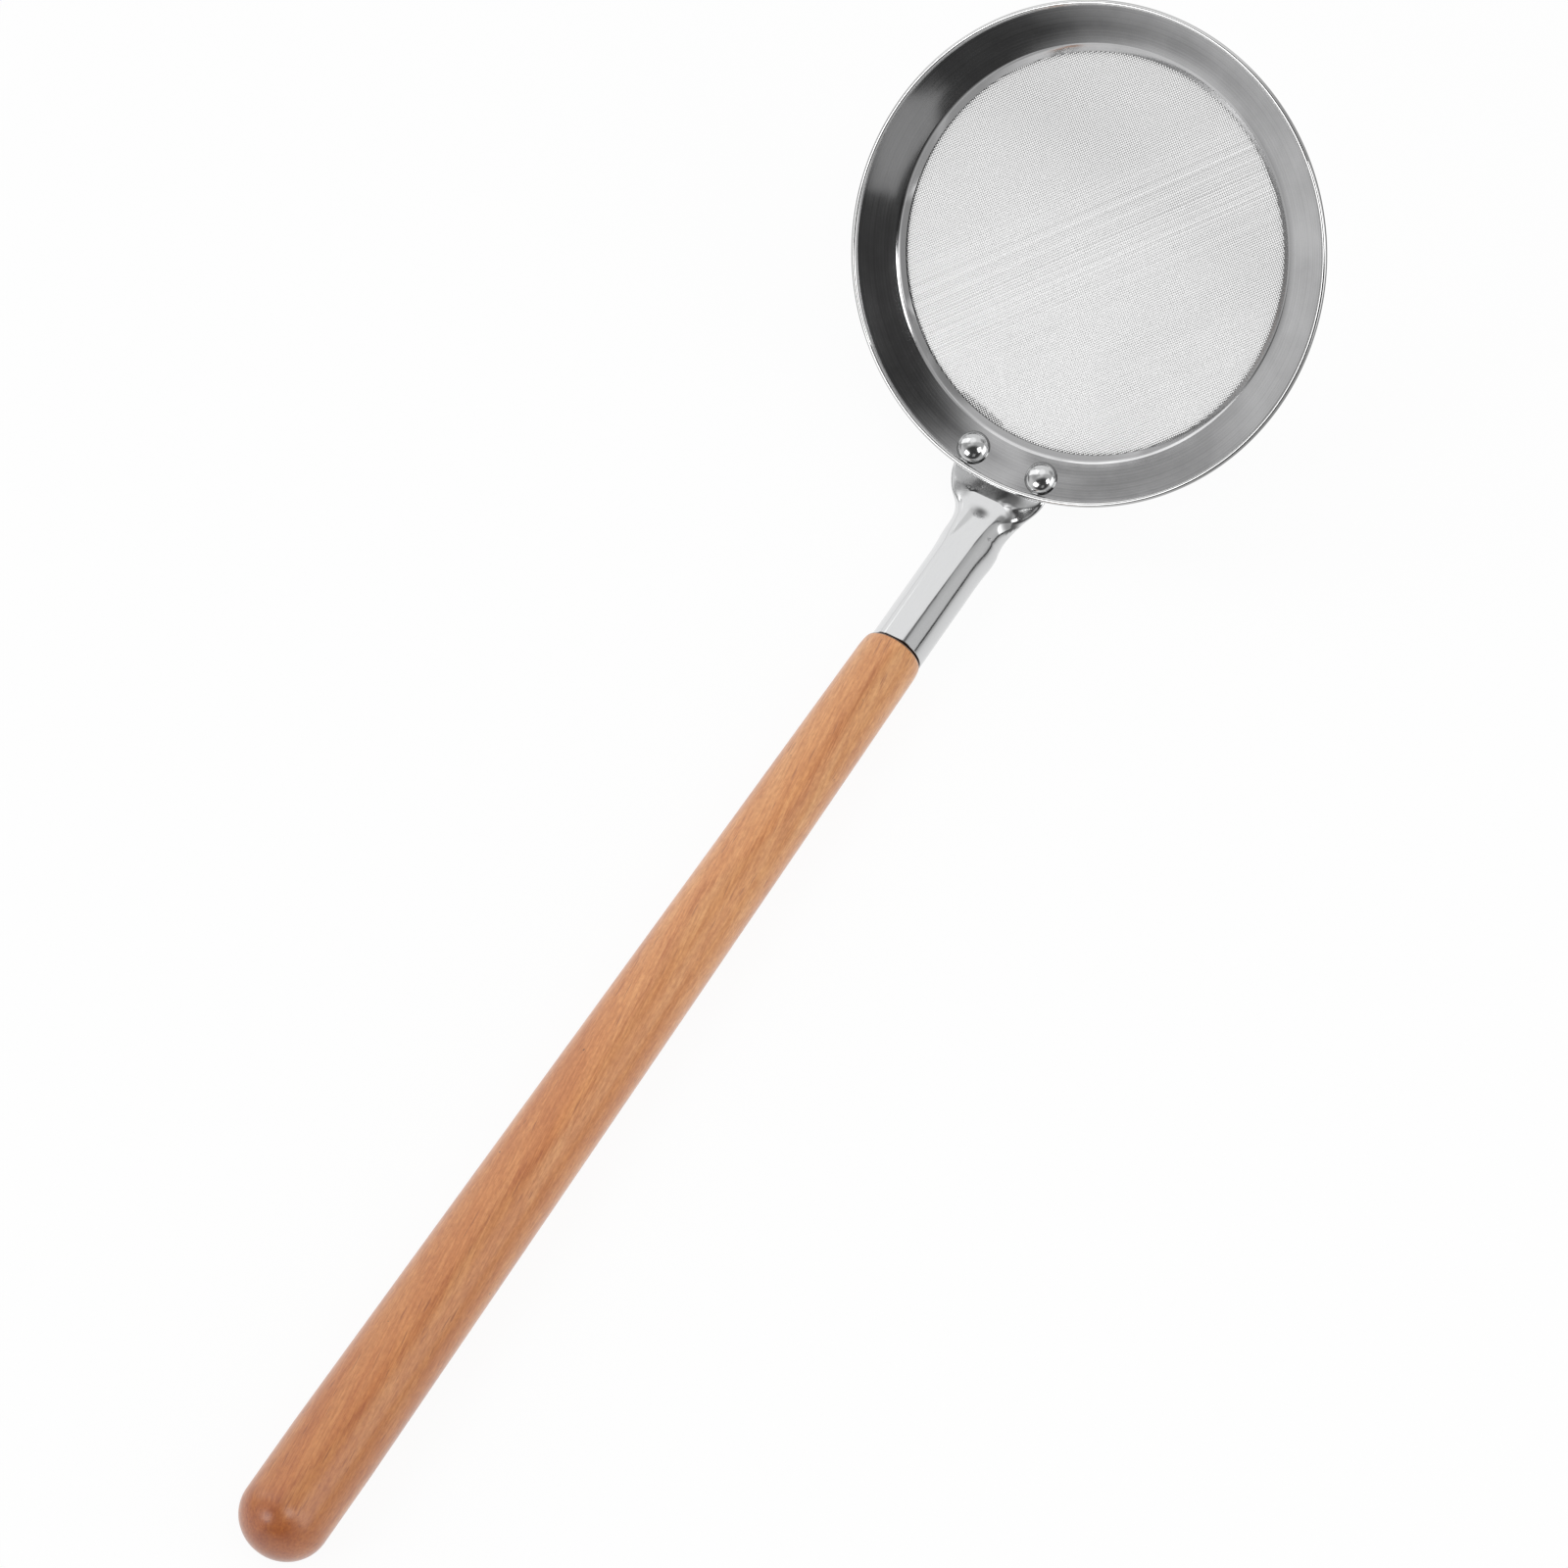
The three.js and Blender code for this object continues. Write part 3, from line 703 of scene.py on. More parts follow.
def lacquered_beech(name, finish, butt, front):
    """Beech under thin lacquer: slanting grain, a tan side past a red streak, a pale front, a red butt."""
    nodes = Finish(name, 0.0)
    slanted = nodes.add("VectorRotate")
    slanted.rotation_type = "Z_AXIS"
    slanted.inputs["Angle"].default_value = math.radians(-8)
    nodes.feed(slanted.inputs["Vector"], nodes.coordinates)
    slant = slanted.outputs["Vector"]
    bands = nodes.grain(slant, (200, 10, 200), 3.0, 0.6, 0.25)
    fibres = nodes.grain(slant, (2000, 90, 2000), 4.0, 0.65)
    pores = nodes.grain(slant, (1500, 620, 1500), 2.0, 0.6)
    flecks = nodes.grain(slant, (1700, 110, 1700), 1.0, 0.4)
    specks = nodes.grain(slant, (620, 420, 620), 1.0, 0.4)
    wander = nodes.grain(nodes.coordinates, (0, 15, 0), 1.0, 0.5)
    x, y, _ = nodes.split(nodes.coordinates)
    ramp = nodes.add("ValToRGB")
    nodes.feed(ramp.inputs["Fac"], bands)
    stops = ramp.color_ramp.elements
    stops.new(0.5)
    tones = ((0.3, finish.beech_dark), (0.5, finish.beech), (0.7, finish.beech_light))
    for stop, (position, tone) in zip(stops, tones):
        stop.position = position
        stop.color = (*tone, 1.0)
    across = nodes.plus(x, nodes.ramp(wander, 0.3, 0.7, -0.004, 0.004))
    tan = nodes.ramp(across, 0.0012, 0.0042, smooth=True)
    streak = nodes.times(tan, nodes.combine("SUBTRACT", 1.0, tan))
    streak = nodes.times(streak, nodes.ramp(fibres, 0.4, 0.65, 0.5, 2.8))
    dark = nodes.ramp(flecks, 0.67, 0.76, 0.0, 0.65, True)
    wood = ramp.outputs["Color"]
    for share, tone, blend in (
        (nodes.ramp(fibres, 0.38, 0.62, 0.0, 0.75), (0.76, 0.62, 0.52), "MULTIPLY"),
        (nodes.ramp(pores, 0.36, 0.62, 0.75, 0.0), (0.84, 0.76, 0.7), "MULTIPLY"),
        (tan, (0.94, 0.97, 0.98), "MULTIPLY"),
        (streak, (0.78, 0.6, 0.48), "MULTIPLY"),
        (dark, (0.37, 0.12, 0.045), "MIX"),
        (nodes.ramp(specks, 0.8, 0.84, 0.0, 0.8, True), (0.07, 0.03, 0.02), "MIX"),
        (nodes.ramp(y, butt + 0.2, butt, 0.0, 0.9), (0.71, 0.57, 0.36), "MULTIPLY"),
        (nodes.ramp(y, front - 0.16, front), (1.04, 1.16, 1.26), "MULTIPLY"),
        (nodes.ramp(y, butt + 0.016, butt + 0.003, 0.0, 0.8, True), (0.8, 0.62, 0.52), "MULTIPLY"),
        # painted shade in the narrow gap where the wood meets the ferrule
        (nodes.ramp(y, front - 0.0005, front - 0.0001, 0.0, 0.9, True), (0.03, 0.015, 0.01), "MIX"),
    ):
        wood = nodes.mix(share, wood, tone, blend)
    nodes.colour(wood)
    nodes.roughness(nodes.ramp(fibres, 0.3, 0.7, 0.36, 0.5))
    nodes.shader.inputs["Coat Weight"].default_value = 0.85
    nodes.shader.inputs["Coat Roughness"].default_value = 0.28
    nodes.bump(nodes.combine("SUBTRACT", fibres, nodes.times(dark, 0.8)), 0.14, 0.0001)
    return nodes.material


def floor_paper(name, tone):
    """Pale floor that stays white behind the skimmer and keeps a soft shadow; in the metal it glows as a
    painted reflection, dimming to half its strength along +X.
    """
    material = bpy.data.materials.new(name)
    nodes = Nodes(material)
    nodes.tree.nodes.clear()
    paper = nodes.add("BsdfDiffuse")
    nodes.feed(paper.inputs["Color"], tone)
    x = nodes.split(nodes.add("TexCoord").outputs["Object"])[0]
    path = nodes.add("LightPath")
    camera_ray = path.outputs["Is Camera Ray"]
    white = nodes.add("Emission")
    # painted reflection: seen in the metal, the floor glows at full strength near the handle and at half
    # strength further along +X
    painted_reflection_glow = nodes.ramp(x, 0.015, 0.13, 1.0, 0.5)
    nodes.feed(white.inputs["Strength"], nodes.combine("MAXIMUM", painted_reflection_glow, camera_ray))
    seen = nodes.combine("MAXIMUM", camera_ray, path.outputs["Is Glossy Ray"])
    seen = nodes.combine("MAXIMUM", seen, path.outputs["Is Transmission Ray"])
    blend = nodes.add("MixShader")
    nodes.feed(blend.inputs["Fac"], nodes.times(seen, 0.93))
    nodes.feed(blend.inputs[1], paper.outputs["BSDF"])
    nodes.feed(blend.inputs[2], white.outputs["Emission"])
    nodes.feed(nodes.add("OutputMaterial").inputs["Surface"], blend.outputs["Shader"])
    return material


def towards(azimuth, elevation):
    """Unit direction at an azimuth from the butt's side and an elevation, in degrees."""
    a = math.radians(azimuth)
    e = math.radians(elevation)
    return Vector((math.sin(a) * math.cos(e), -math.cos(a) * math.cos(e), math.sin(e)))


class SKIMMER_OT_stage(bpy.types.Operator):
    """Set up the camera, the floor, the lamps and the soft light of the room"""

    bl_idname = "skimmer.stage"
    bl_label = "Set the stage"
    bl_options = {"REGISTER", "UNDO"}

    def execute(self, context):
        scene = context.scene
        stage = scene.skimmer_stage
        scene.view_settings.view_transform = "Standard"
        self.set_camera(scene, stage)
        self.lay_floor(scene, stage)
        self.light_room(scene)
        for lamp in LAMPS:
            self.hang_lamp(stage, *lamp)
        return {"FINISHED"}

    def set_camera(self, scene, stage):
        """Stand the camera where the photograph was taken from."""
        clear_selection()
        bpy.ops.object.camera_add(location=stage.camera_place, rotation=stage.camera_turn)
        camera = bpy.context.object
        camera.name = "camera"
        camera.data.lens = stage.lens
        camera.data.sensor_fit = "HORIZONTAL"
        camera.data.sensor_width = 36.0
        camera.data.clip_start = 0.05
        camera.data.clip_end = 100.0
        scene.camera = camera

    def lay_floor(self, scene, stage):
        """Lay a wide pale floor under the skimmer."""
        clear_selection()
        bpy.ops.mesh.primitive_grid_add(x_subdivisions=2, y_subdivisions=2, size=stage.floor_size)
        floor = bpy.context.object
        floor.name = "floor"
        floor.data.materials.append(floor_paper("floor_paper", scene.skimmer_finish.floor))

    def light_room(self, scene):
        """Fill the room with soft light that is darker on the camera's side and pale along the floor."""
        scene.world = bpy.data.worlds.new("studio")
        nodes = Nodes(scene.world)
        direction = nodes.add("TexCoord").outputs["Generated"]
        height = nodes.split(direction)[2]
        room = [ROOM_LEVEL] * 3
        for azimuth, elevation, inner, outer, level in ROOM_PATCHES:
            patch = self.patch(nodes, direction, towards(azimuth, elevation), inner, outer)
            room = nodes.mix(patch, room, [level] * 3)
        room = nodes.mix(nodes.ramp(height, 0.03, 0.1, 1.0, 0.0, True), room, [FLOOR_LEVEL] * 3)
        gap = self.patch(nodes, direction, towards(117, 0), 20, 40)
        gap = nodes.times(gap, nodes.ramp(height, 0.1, 0.16, 1.0, 0.0, True))
        room = nodes.mix(gap, room, [GAP_LEVEL] * 3)
        nodes.feed(nodes.tree.nodes["Background"].inputs["Color"], room)

    def patch(self, nodes, direction, centre, inner, outer):
        """A round patch of the room: 1 within the inner angle, fading to 0 at the outer one, in degrees."""
        facing = nodes.add("VectorMath")
        facing.operation = "DOT_PRODUCT"
        facing.inputs[1].default_value = centre
        nodes.feed(facing.inputs[0], direction)
        low = math.cos(math.radians(outer))
        high = math.cos(math.radians(inner))
        return nodes.ramp(facing.outputs["Value"], low, high, smooth=True)

    def hang_lamp(self, stage, name, azimuth, elevation, width, height, level):
        """Hang a soft panel that faces the skimmer and has the given brightness."""
        clear_selection()
        direction = towards(azimuth, elevation)
        bpy.ops.object.light_add(type="AREA", location=LAMP_AIM + direction * stage.lamp_distance)
        lamp = bpy.context.object
        lamp.name = name
        lamp.rotation_euler = direction.to_track_quat("Z", "Y").to_euler()
        lamp.data.shape = "RECTANGLE"
        lamp.data.size = width
        lamp.data.size_y = height
        lamp.data.energy = level * math.pi * width * height
        lamp.visible_camera = False


class SKIMMER_OT_pan(bpy.types.Operator):
    """Press the pan: turned-down lip, sloping wall and rolled rim, drilled for the rivets"""

    bl_idname = "skimmer.pan"
    bl_label = "Press the pan"
    bl_options = {"REGISTER", "UNDO"}

    def execute(self, context):
        scene = context.scene
        pan = scene.skimmer_pan
        lines = PanLines(pan)
        under = arc(lines.lip, pan.lip_radius - pan.sheet, lines.square, math.pi, 8)
        piece = turned(lines.lip_outline() + lines.rolled_rim(under[0]) + under, 240, True)
        settle(piece, pan_matrix(pan))
        drill(piece, rivet_drills(scene))
        keep(piece, "lathe", pan_matrix(pan), lathe_place)
        finish = scene.skimmer_finish
        rim = (pan.rim_radius - 2.0 * pan.rim_roll, pan.rim_radius - 1.8 * pan.rim_roll)
        hem = (lines.mesh_radius + 0.0012, lines.mesh_radius + 0.0015)
        material = satin_steel("satin_pan_steel", finish.pan_steel, finish.rim_steel, rim, hem, 0.08, 0.15)
        finish_piece(piece, "pan", material, "strainer_frame", 35)
        return {"FINISHED"}


class SKIMMER_OT_mesh(bpy.types.Operator):
    """Weave the mesh floor from single wires, trimmed to a disc"""

    bl_idname = "skimmer.mesh"
    bl_label = "Weave the mesh"
    bl_options = {"REGISTER", "UNDO"}

    frayed_at = math.radians(-105)
    frayed_half = math.radians(8)

    def execute(self, context):
        scene = context.scene
        pan = scene.skimmer_pan
        mesh = scene.skimmer_mesh
        lines = PanLines(pan)
        radius = lines.mesh_radius + mesh.seat
        middle = -pan.mesh_depth - mesh.net_thickness / 2
        spin_by = Matrix.Rotation(mesh.slant, 4, "Z")
        whole = pan_matrix(pan) @ Matrix.Translation((0, 0, middle)) @ spin_by
        tone = scene.skimmer_finish.wire_steel
        warp = self.woven(mesh, radius)
        weft = self.woven(mesh, radius)
        settle(weft, Matrix.Translation((mesh.pitch, 0, 0)) @ Matrix.Rotation(math.pi / 2, 4, "Z"))
        rows = ((warp, "mesh_warp_wires", 1, 0.6), (weft, "mesh_weft_wires", 0, 0.1))
        for piece, name, across, streaks in rows:
            self.trim(piece, radius)
            self.unsettle(piece, mesh, across)
            keep(piece, "painted_light_and_finish", Matrix(), lambda spot: self.painted_light_and_finish(spot, mesh, lines.mesh_radius, across))
            settle(piece, whole)
            material = wire_metal(name, tone, across, streaks)
            finish_piece(piece, name, material, "mesh_disc", 80)
        return {"FINISHED"}

    def woven(self, mesh, radius):
        """A square of parallel wires along X that rise and fall over their neighbours."""
        clear_selection()
        bpy.ops.mesh.primitive_circle_add(vertices=3, radius=mesh.wire / 2)
        piece = bpy.context.object
        half = mesh.wire / 2
        for corner, vertex in enumerate(piece.data.vertices):
            turn_by = math.radians(90 + 120 * corner)
            vertex.co = (0.0, half * math.cos(turn_by), half + half * math.sin(turn_by))
        bpy.ops.object.mode_set(mode="EDIT")
        bpy.ops.mesh.select_all(action="SELECT")
        for fall in (-mesh.wire, mesh.wire):
            move = {"value": (mesh.pitch, 0.0, fall)}
            bpy.ops.mesh.extrude_region_move(TRANSFORM_OT_translate=move)
        bpy.ops.object.mode_set(mode="OBJECT")
        pairs = math.ceil(radius / mesh.pitch) + 1
        array = {"use_relative_offset": False, "use_constant_offset": True}
        pitch = mesh.pitch
        apply_modifier(
            piece,
            "ARRAY",
            count=pairs,
            constant_offset_displace=(2 * pitch, 0, 0),
            use_merge_vertices=True,
            merge_threshold=1e-6,
            **array,
        )
        apply_modifier(piece, "ARRAY", count=2, constant_offset_displace=(pitch, pitch, 0), **array)
        apply_modifier(piece, "ARRAY", count=pairs, constant_offset_displace=(0, 2 * pitch, 0), **array)
        settle(piece, Matrix.Translation((-pairs * pitch, -pairs * pitch, 0)))
        return piece

    def trim(self, piece, radius):
        """Cut the wires off at the edge of the disc and close their ends."""
        choose_points(piece, lambda spot: spot.xy.length > radius)
        bpy.ops.mesh.delete(type="VERT")
        bpy.ops.mesh.select_all(action="SELECT")
        bpy.ops.mesh.delete_loose(use_verts=True, use_edges=True, use_faces=False)
        bpy.ops.mesh.select_all(action="SELECT")
        bpy.ops.mesh.fill_holes(sides=3)
        face_outwards()

    def unsettle(self, piece, mesh, across):
        """Keep each wire's own place for its finish, pull some wires out of line and let the mesh sag."""
        keep(piece, "weave", Matrix(), lambda spot: self.wire_place(spot, mesh, across))
        for vertex in piece.data.vertices:
            wire = round(vertex.co[across] / mesh.pitch)
            along = vertex.co[1 - across]
            pull = noise.noise(Vector((wire * 3.7, across * 9.1, along * 18.0)))
            sag = noise.noise(Vector((vertex.co.x * 30, vertex.co.y * 30, 4.0)))
            gap = self.looseness(mesh, wire, across) * noise.noise(Vector((wire * 5.3, 7.7, along * 5.0)))
            vertex.co[across] += mesh.pitch * (0.035 * pull + 0.4 * gap)
            vertex.co.z += 0.00003 * sag

    def wire_place(self, spot, mesh, across):
        """Where the wire through a place lies across its family."""
        place = [0.0, 0.0, 0.0]
        place[across] = round(spot[across] / mesh.pitch) * mesh.pitch
        return place

    def looseness(self, mesh, wire, across):
        """How far the wires of one family stand apart in a band across the middle, from 0 to 1."""
        return across * math.exp(-(((wire * mesh.pitch - 0.003) / 0.0145) ** 4))

    def painted_light_and_finish(self, spot, mesh, edge, across):
        """Painted shade on the wire ends under the lip and on a frayed stretch, painted shade in bands across
        the disc, and a painted highlight on loose wires.
        """
        flat = Matrix.Rotation(mesh.slant, 2) @ spot.xy
        wire = round(spot[across] / mesh.pitch)
        grit = noise.noise(Vector((flat.x * 1400, flat.y * 1400, 2.0)))
        # painted shade on the wire ends under the lip and on a frayed stretch
        dark = (flat.length - edge + 0.0005 + 0.0002 * grit) / 0.0003
        away = (math.atan2(flat.y, flat.x) - self.frayed_at) / self.frayed_half
        tuft = 0.0011 + 0.0006 * noise.cell(Vector((wire + 0.5, 3.5, across)))
        if abs(away) < 1.0 and flat.length > edge - tuft * (1.0 - 0.5 * away**2) - 0.0005:
            dark = 1.0
        # painted shade in a band and over the far side of the disc
        dull_and_shade = 0.3 * math.exp(-(((flat.y - 0.024 + 0.2 * flat.x) / 0.011) ** 2))
        dull_and_shade += 0.75 * clamp((flat.y - 0.4 * flat.x + 0.03) / 0.08)
        # painted highlight on some loose wires
        painted_highlight = (noise.cell(Vector((wire + 0.5, 7.5, 0.5))) - 0.25) / 0.6
        return clamp(dark), dull_and_shade, 0.6 * clamp(painted_highlight) * self.looseness(mesh, wire, across)


class SKIMMER_OT_ring(bpy.types.Operator):
    """Turn the ring that holds the edge of the mesh up against the pan"""

    bl_idname = "skimmer.ring"
    bl_label = "Turn the ring"
    bl_options = {"REGISTER", "UNDO"}

    def execute(self, context):
        scene = context.scene
        pan = scene.skimmer_pan
        mesh = scene.skimmer_mesh
        lines = PanLines(pan)
        top = -pan.mesh_depth - mesh.net_thickness - pan.clearance
        under = top - mesh.ring_sheet
        inner = lines.mesh_radius + 0.0002
        wall_in = lines.mesh_radius + 0.0022 + pan.clearance
        wall_out = wall_in + mesh.ring_sheet
        rounding = 0.45 * mesh.ring_sheet
        cut = 0.0001
        outline = [(inner + cut, top), (inner, top - cut), (inner, under + cut), (inner + cut, under)]
        outline += arc((wall_out - rounding, under + rounding), rounding, -math.pi / 2, 0, 6)
        outline.append((wall_out, lines.wall(wall_out, pan.sheet) - pan.clearance))
        outline.append((wall_in, lines.wall(wall_in, pan.sheet) - pan.clearance))
        outline.append((wall_in, top))
        piece = turned(outline, 200, True)
        settle(piece, pan_matrix(pan))
        keep(piece, "lathe", pan_matrix(pan), lathe_place)
        steel = scene.skimmer_finish.pan_steel
        no_rim = (1.0, 2.0)
        no_hem = (0.001, 0.002)
        material = satin_steel("satin_ring_steel", steel, steel, no_rim, no_hem, 0.2, 0.34)
        finish_piece(piece, "mesh_holding_ring", material, "mesh_ring", 35)
        return {"FINISHED"}


class SKIMMER_OT_rivets(bpy.types.Operator):
    """Set the two domed rivets through the wall and the flange"""

    bl_idname = "skimmer.rivets"
    bl_label = "Set the rivets"
    bl_options = {"REGISTER", "UNDO"}

    def execute(self, context):
        scene = context.scene
        pan = scene.skimmer_pan
        ferrule = scene.skimmer_ferrule
        grip = pan.sheet + 0.0005 + ferrule.flange_sheet
        head = ferrule.head_radius
        shank = ferrule.shank_radius
        low = 0.14 * ferrule.head_height
        dome = ferrule.head_height + 0.0002 - low
        outline = [(head * out, low + dome * up) for out, up in quarter_turn(16)]
        skirt = 1.07 * head
        seat = 0.0001
        outline += [(skirt, 0.00018), (skirt, seat), (shank, seat)]
        tail = -grip - 0.0002
        outline += [(shank, tail), (0.74 * head, tail), (0.81 * head, tail - 0.0003)]
        outline += [(0.8 * head, tail - 0.0007), (0.6 * head, tail - 0.0013), (0.0, tail - 0.0015)]
        material = polished_metal("polished_rivet_steel", scene.skimmer_finish.polished_steel)
        for side, name in ((-1, "rivet_left"), (1, "rivet_right")):
            piece = turned(outline, 48, False)
            settle(piece, rivet_matrix(scene, side))
            keep(piece, "painted_light_and_finish", rivet_matrix(scene, side), lambda spot: self.base_shade_and_tone(spot, head))
            finish_piece(piece, name + "_domed", material, name, 40)
        return {"FINISHED"}

    def base_shade_and_tone(self, spot, head):
        """Painted contact shadow as a dark share in a line where the head meets the wall, and a darker tone
        all over.
        """
        out = clamp((spot.xy.length / head - 0.985) / 0.02)
        return (0.85 * out if spot.z < 0.0005 else 0.0), 0.55, 0.0


class SKIMMER_OT_ferrule(bpy.types.Operator):
    """Form the ferrule: a tube pressed flat on top that opens into the riveted flange"""

    bl_idname = "skimmer.ferrule"
    bl_label = "Form the ferrule"
    bl_options = {"REGISTER", "UNDO"}

    top_points = 29
    side_points = 15
    under_points = 17
    flange_steps = 27
    neck_steps = 40
    tube_steps = 30
    bore_steps = 8

    flat_from = -0.025
    flat_narrow = 0.0032
    crease_half = 0.0059
    crease_share = 0.412

    # centre and reach of the soft spots of painted shade and of satin in the finish
    dimple_right = ((0.0005, -0.0147), (0.0019, 0.0013))
    dimple_left = ((-0.0007, -0.0147), (0.0021, 0.0014))
    right_ear = ((0.0079, -0.0141), (0.0026, 0.0022))
    ear_tip = ((0.0064, -0.0112), (0.0011, 0.0013))
    left_corner = ((-0.0082, -0.0108), (0.0022, 0.0022))
    right_corner = ((0.0098, -0.0095), (0.002, 0.002))

    def execute(self, context):
        scene = context.scene
        self.pan = scene.skimmer_pan
        self.ferrule = scene.skimmer_ferrule
        self.lines = PanLines(self.pan)
        ferrule = self.ferrule
        rings = []
        for step in range(self.flange_steps, -1, -1):
            rings.append(self.flange_ring(step / self.flange_steps))
        neck = ferrule.neck_start - ferrule.neck_end
        for step in range(1, self.neck_steps + 1):
            rings.append(self.tube_ring(-ferrule.neck_end - neck * step / self.neck_steps, 0.0))
        end = ferrule.joint_gap - ferrule.tube_end
        tube = ferrule.tube_end - ferrule.neck_start - ferrule.joint_gap
        for step in range(1, self.tube_steps + 1):
            part = (tube - 0.0002) * step / self.tube_steps
            rings.append(self.tube_ring(-ferrule.neck_start - part, 0.0))
        rings.append(self.tube_ring(end + 0.00005, 0.00008))
        rings.append(self.tube_ring(end, 0.00022))
        rings.append(self.tube_ring(end, ferrule.tube_wall - 0.0001))
        rings.append(self.tube_ring(end + 0.0001, ferrule.tube_wall))
        for step in range(1, self.bore_steps + 1):
            rings.append(self.tube_ring(end + (tube - 0.001) * step / self.bore_steps, ferrule.tube_wall))
        piece = skinned(rings)
        self.soften(piece)
        settle(piece, handle_matrix(scene.skimmer_handle))
        drill(piece, rivet_drills(scene))
        keep(piece, "painted_light_and_finish", handle_matrix(scene.skimmer_handle), self.shadowed)
        material = polished_metal("polished_ferrule_steel", scene.skimmer_finish.polished_steel)
        finish_piece(piece, "ferrule_socket", material, "ferrule", 22)
        return {"FINISHED"}

    def soften(self, piece):
        """Smooth the ears where the neck opens into the flange."""
        choose_points(piece, self.on_ear)
        bpy.ops.mesh.vertices_smooth(factor=0.5, repeat=16)
        bpy.ops.object.mode_set(mode="OBJECT")

    def on_ear(self, spot):
        """Whether a place lies on one of the ears, beside the flat."""
        inner = 0.0047 if spot.y > -0.0095 else 0.0056
        return abs(spot.x + 0.001) > inner and -0.021 < spot.y < -0.004

    def shadowed(self, spot):
        """Dark, darker-tone and satin shares: painted shade in the dimple, the hollow, the ears, along the
        crease and on the right flank, a painted dark reflection on the flange, and satin on the flange's left
        side and the corners.
        """
        # painted shade: the tube's right flank is darkened
        along = clamp((-0.012 - spot.y) / 0.004)
        flank = 0.4 * along * clamp((spot.x - 0.006) / 0.0008)
        if spot.z < 0.003:
            return 0.0, flank, 0.0
        soft = 0.5 * soft_spot(spot.x, spot.y, self.right_corner)
        if spot.y > 0.0003 - self.ferrule.neck_end:
            # painted dark reflection on the flange under the rim
            dark = 0.76 * clamp((spot.x - 0.0004) / 0.003) * clamp((0.0095 - spot.x) / 0.003)
            return dark, 0.0, clamp(max(0.0, 0.2 + (-0.001 - spot.x) / 0.012) + soft)
        x = spot.x + self.shifted(spot.y) - self.offset(spot.y)
        corner = soft_spot(spot.x, spot.y, self.left_corner)
        # painted shade in the dimple, on the right ear, at the left corner and at the ear's tip
        dark = 0.66 * soft_spot(x, spot.y, self.dimple_right, 1.5)
        dark += 0.2 * soft_spot(x, spot.y, self.dimple_left, 1.5)
        dark += 0.82 * soft_spot(spot.x, spot.y, self.right_ear) + 0.4 * corner
        dark += 0.5 * soft_spot(spot.x, spot.y, self.ear_tip)
        # painted shade along the flat's right crease and in the hollow
        edge = 0.5 * along * math.exp(-(((x - self.flat_half(spot.y) - 0.0005) / 0.0006) ** 2))
        return clamp(dark), clamp(self.hollow(x, spot.y) + flank + edge), clamp(corner + soft)

    def from_pan(self, radius, height):
        """A point in the pan's plane of symmetry, as (y, z) in the handle's axes."""
        ferrule = self.ferrule
        rim = self.pan.rim_radius
        c = math.cos(ferrule.rise)
        s = math.sin(ferrule.rise)
        y = (rim - radius) * c - (ferrule.axis_drop + height) * s
        z = (rim - radius) * s + (ferrule.axis_drop + height) * c
        return y, z

    def flange_middle(self, radius):
        """Middle of the flange's sheet, which lies along the underside of the wall."""
        ferrule = self.ferrule
        depth = self.pan.sheet + ferrule.flange_gap + ferrule.flange_sheet / 2
        return self.from_pan(radius, self.lines.wall(radius, depth))

    def crease_radius(self):
        """Distance from the pan's axis at which the flange's middle reaches the end of the neck."""
        first = self.flange_middle(0.0)[0]
        step = self.flange_middle(0.001)[0] - first
        return (-self.ferrule.neck_end - first) / step * 0.001

    def crease_middle(self):
        """Height of the middle of the sheet at the crease between the flat and the flange."""
        return self.flange_middle(self.crease_radius())[1] - self.ferrule.crease_drop

    def flat_half(self, y):
        """Half the width of the flat that is pressed into the top of the tube."""
        if y < self.flat_from:
            return self.flat_narrow - 0.0007 * (self.flat_from - y) / 0.0335
        return self.flat_narrow + 0.0025 * ((y - self.flat_from) / 0.014) ** 1.4

    def flat_height(self, y):
        """Height of that flat."""
        if y < self.flat_from:
            return math.sqrt(self.ferrule.tube_radius**2 - self.flat_half(y) ** 2)
        low = self.crease_middle() + self.ferrule.flange_sheet / 2
        high = self.flat_height(self.flat_from - 1e-7)
        neck_end = self.ferrule.neck_end
        return low + (high - low) * eased((-y - neck_end) / (-self.flat_from - neck_end))

    def neck_part(self, y):
        """How far along the neck a place lies: 0 where the tube starts to flatten, 1 at the flange."""
        ferrule = self.ferrule
        return clamp((y + ferrule.neck_start) / (ferrule.neck_start - ferrule.neck_end))

    def shifted(self, y):
        """How far the flat has moved to the left of the tube's middle."""
        return self.ferrule.flat_shift * self.neck_part(y) ** 1.5

    def hollow(self, x, y):
        """Share of the leaf-shaped hollow that runs down from the dimple: 0 outside it, 0.6 inside."""
        run = (y + 0.0144) / -0.0115
        if not 0.0 < run < 1.0:
            return 0.0
        left = self.shifted(y) - self.offset(y) - 0.0033
        side = (x - left) / (0.0025 * (1.0 - run**1.6) + 0.0001)
        if not 0.0 < side < 1.0:
            return 0.0
        return 0.6 * clamp(run / 0.08) * clamp(side / 0.12) * clamp((1.0 - side) / 0.35)

    def dent(self, x, y):
        """Depth of the pressed dimple and of the hollow beside it."""
        across = (x - 0.0002) / 0.0023
        along = (y + 0.0146) / 0.0018
        return 0.00024 * math.exp(-((across**2 + along**2) ** 1.3)) + 0.00007 * self.hollow(x, y)

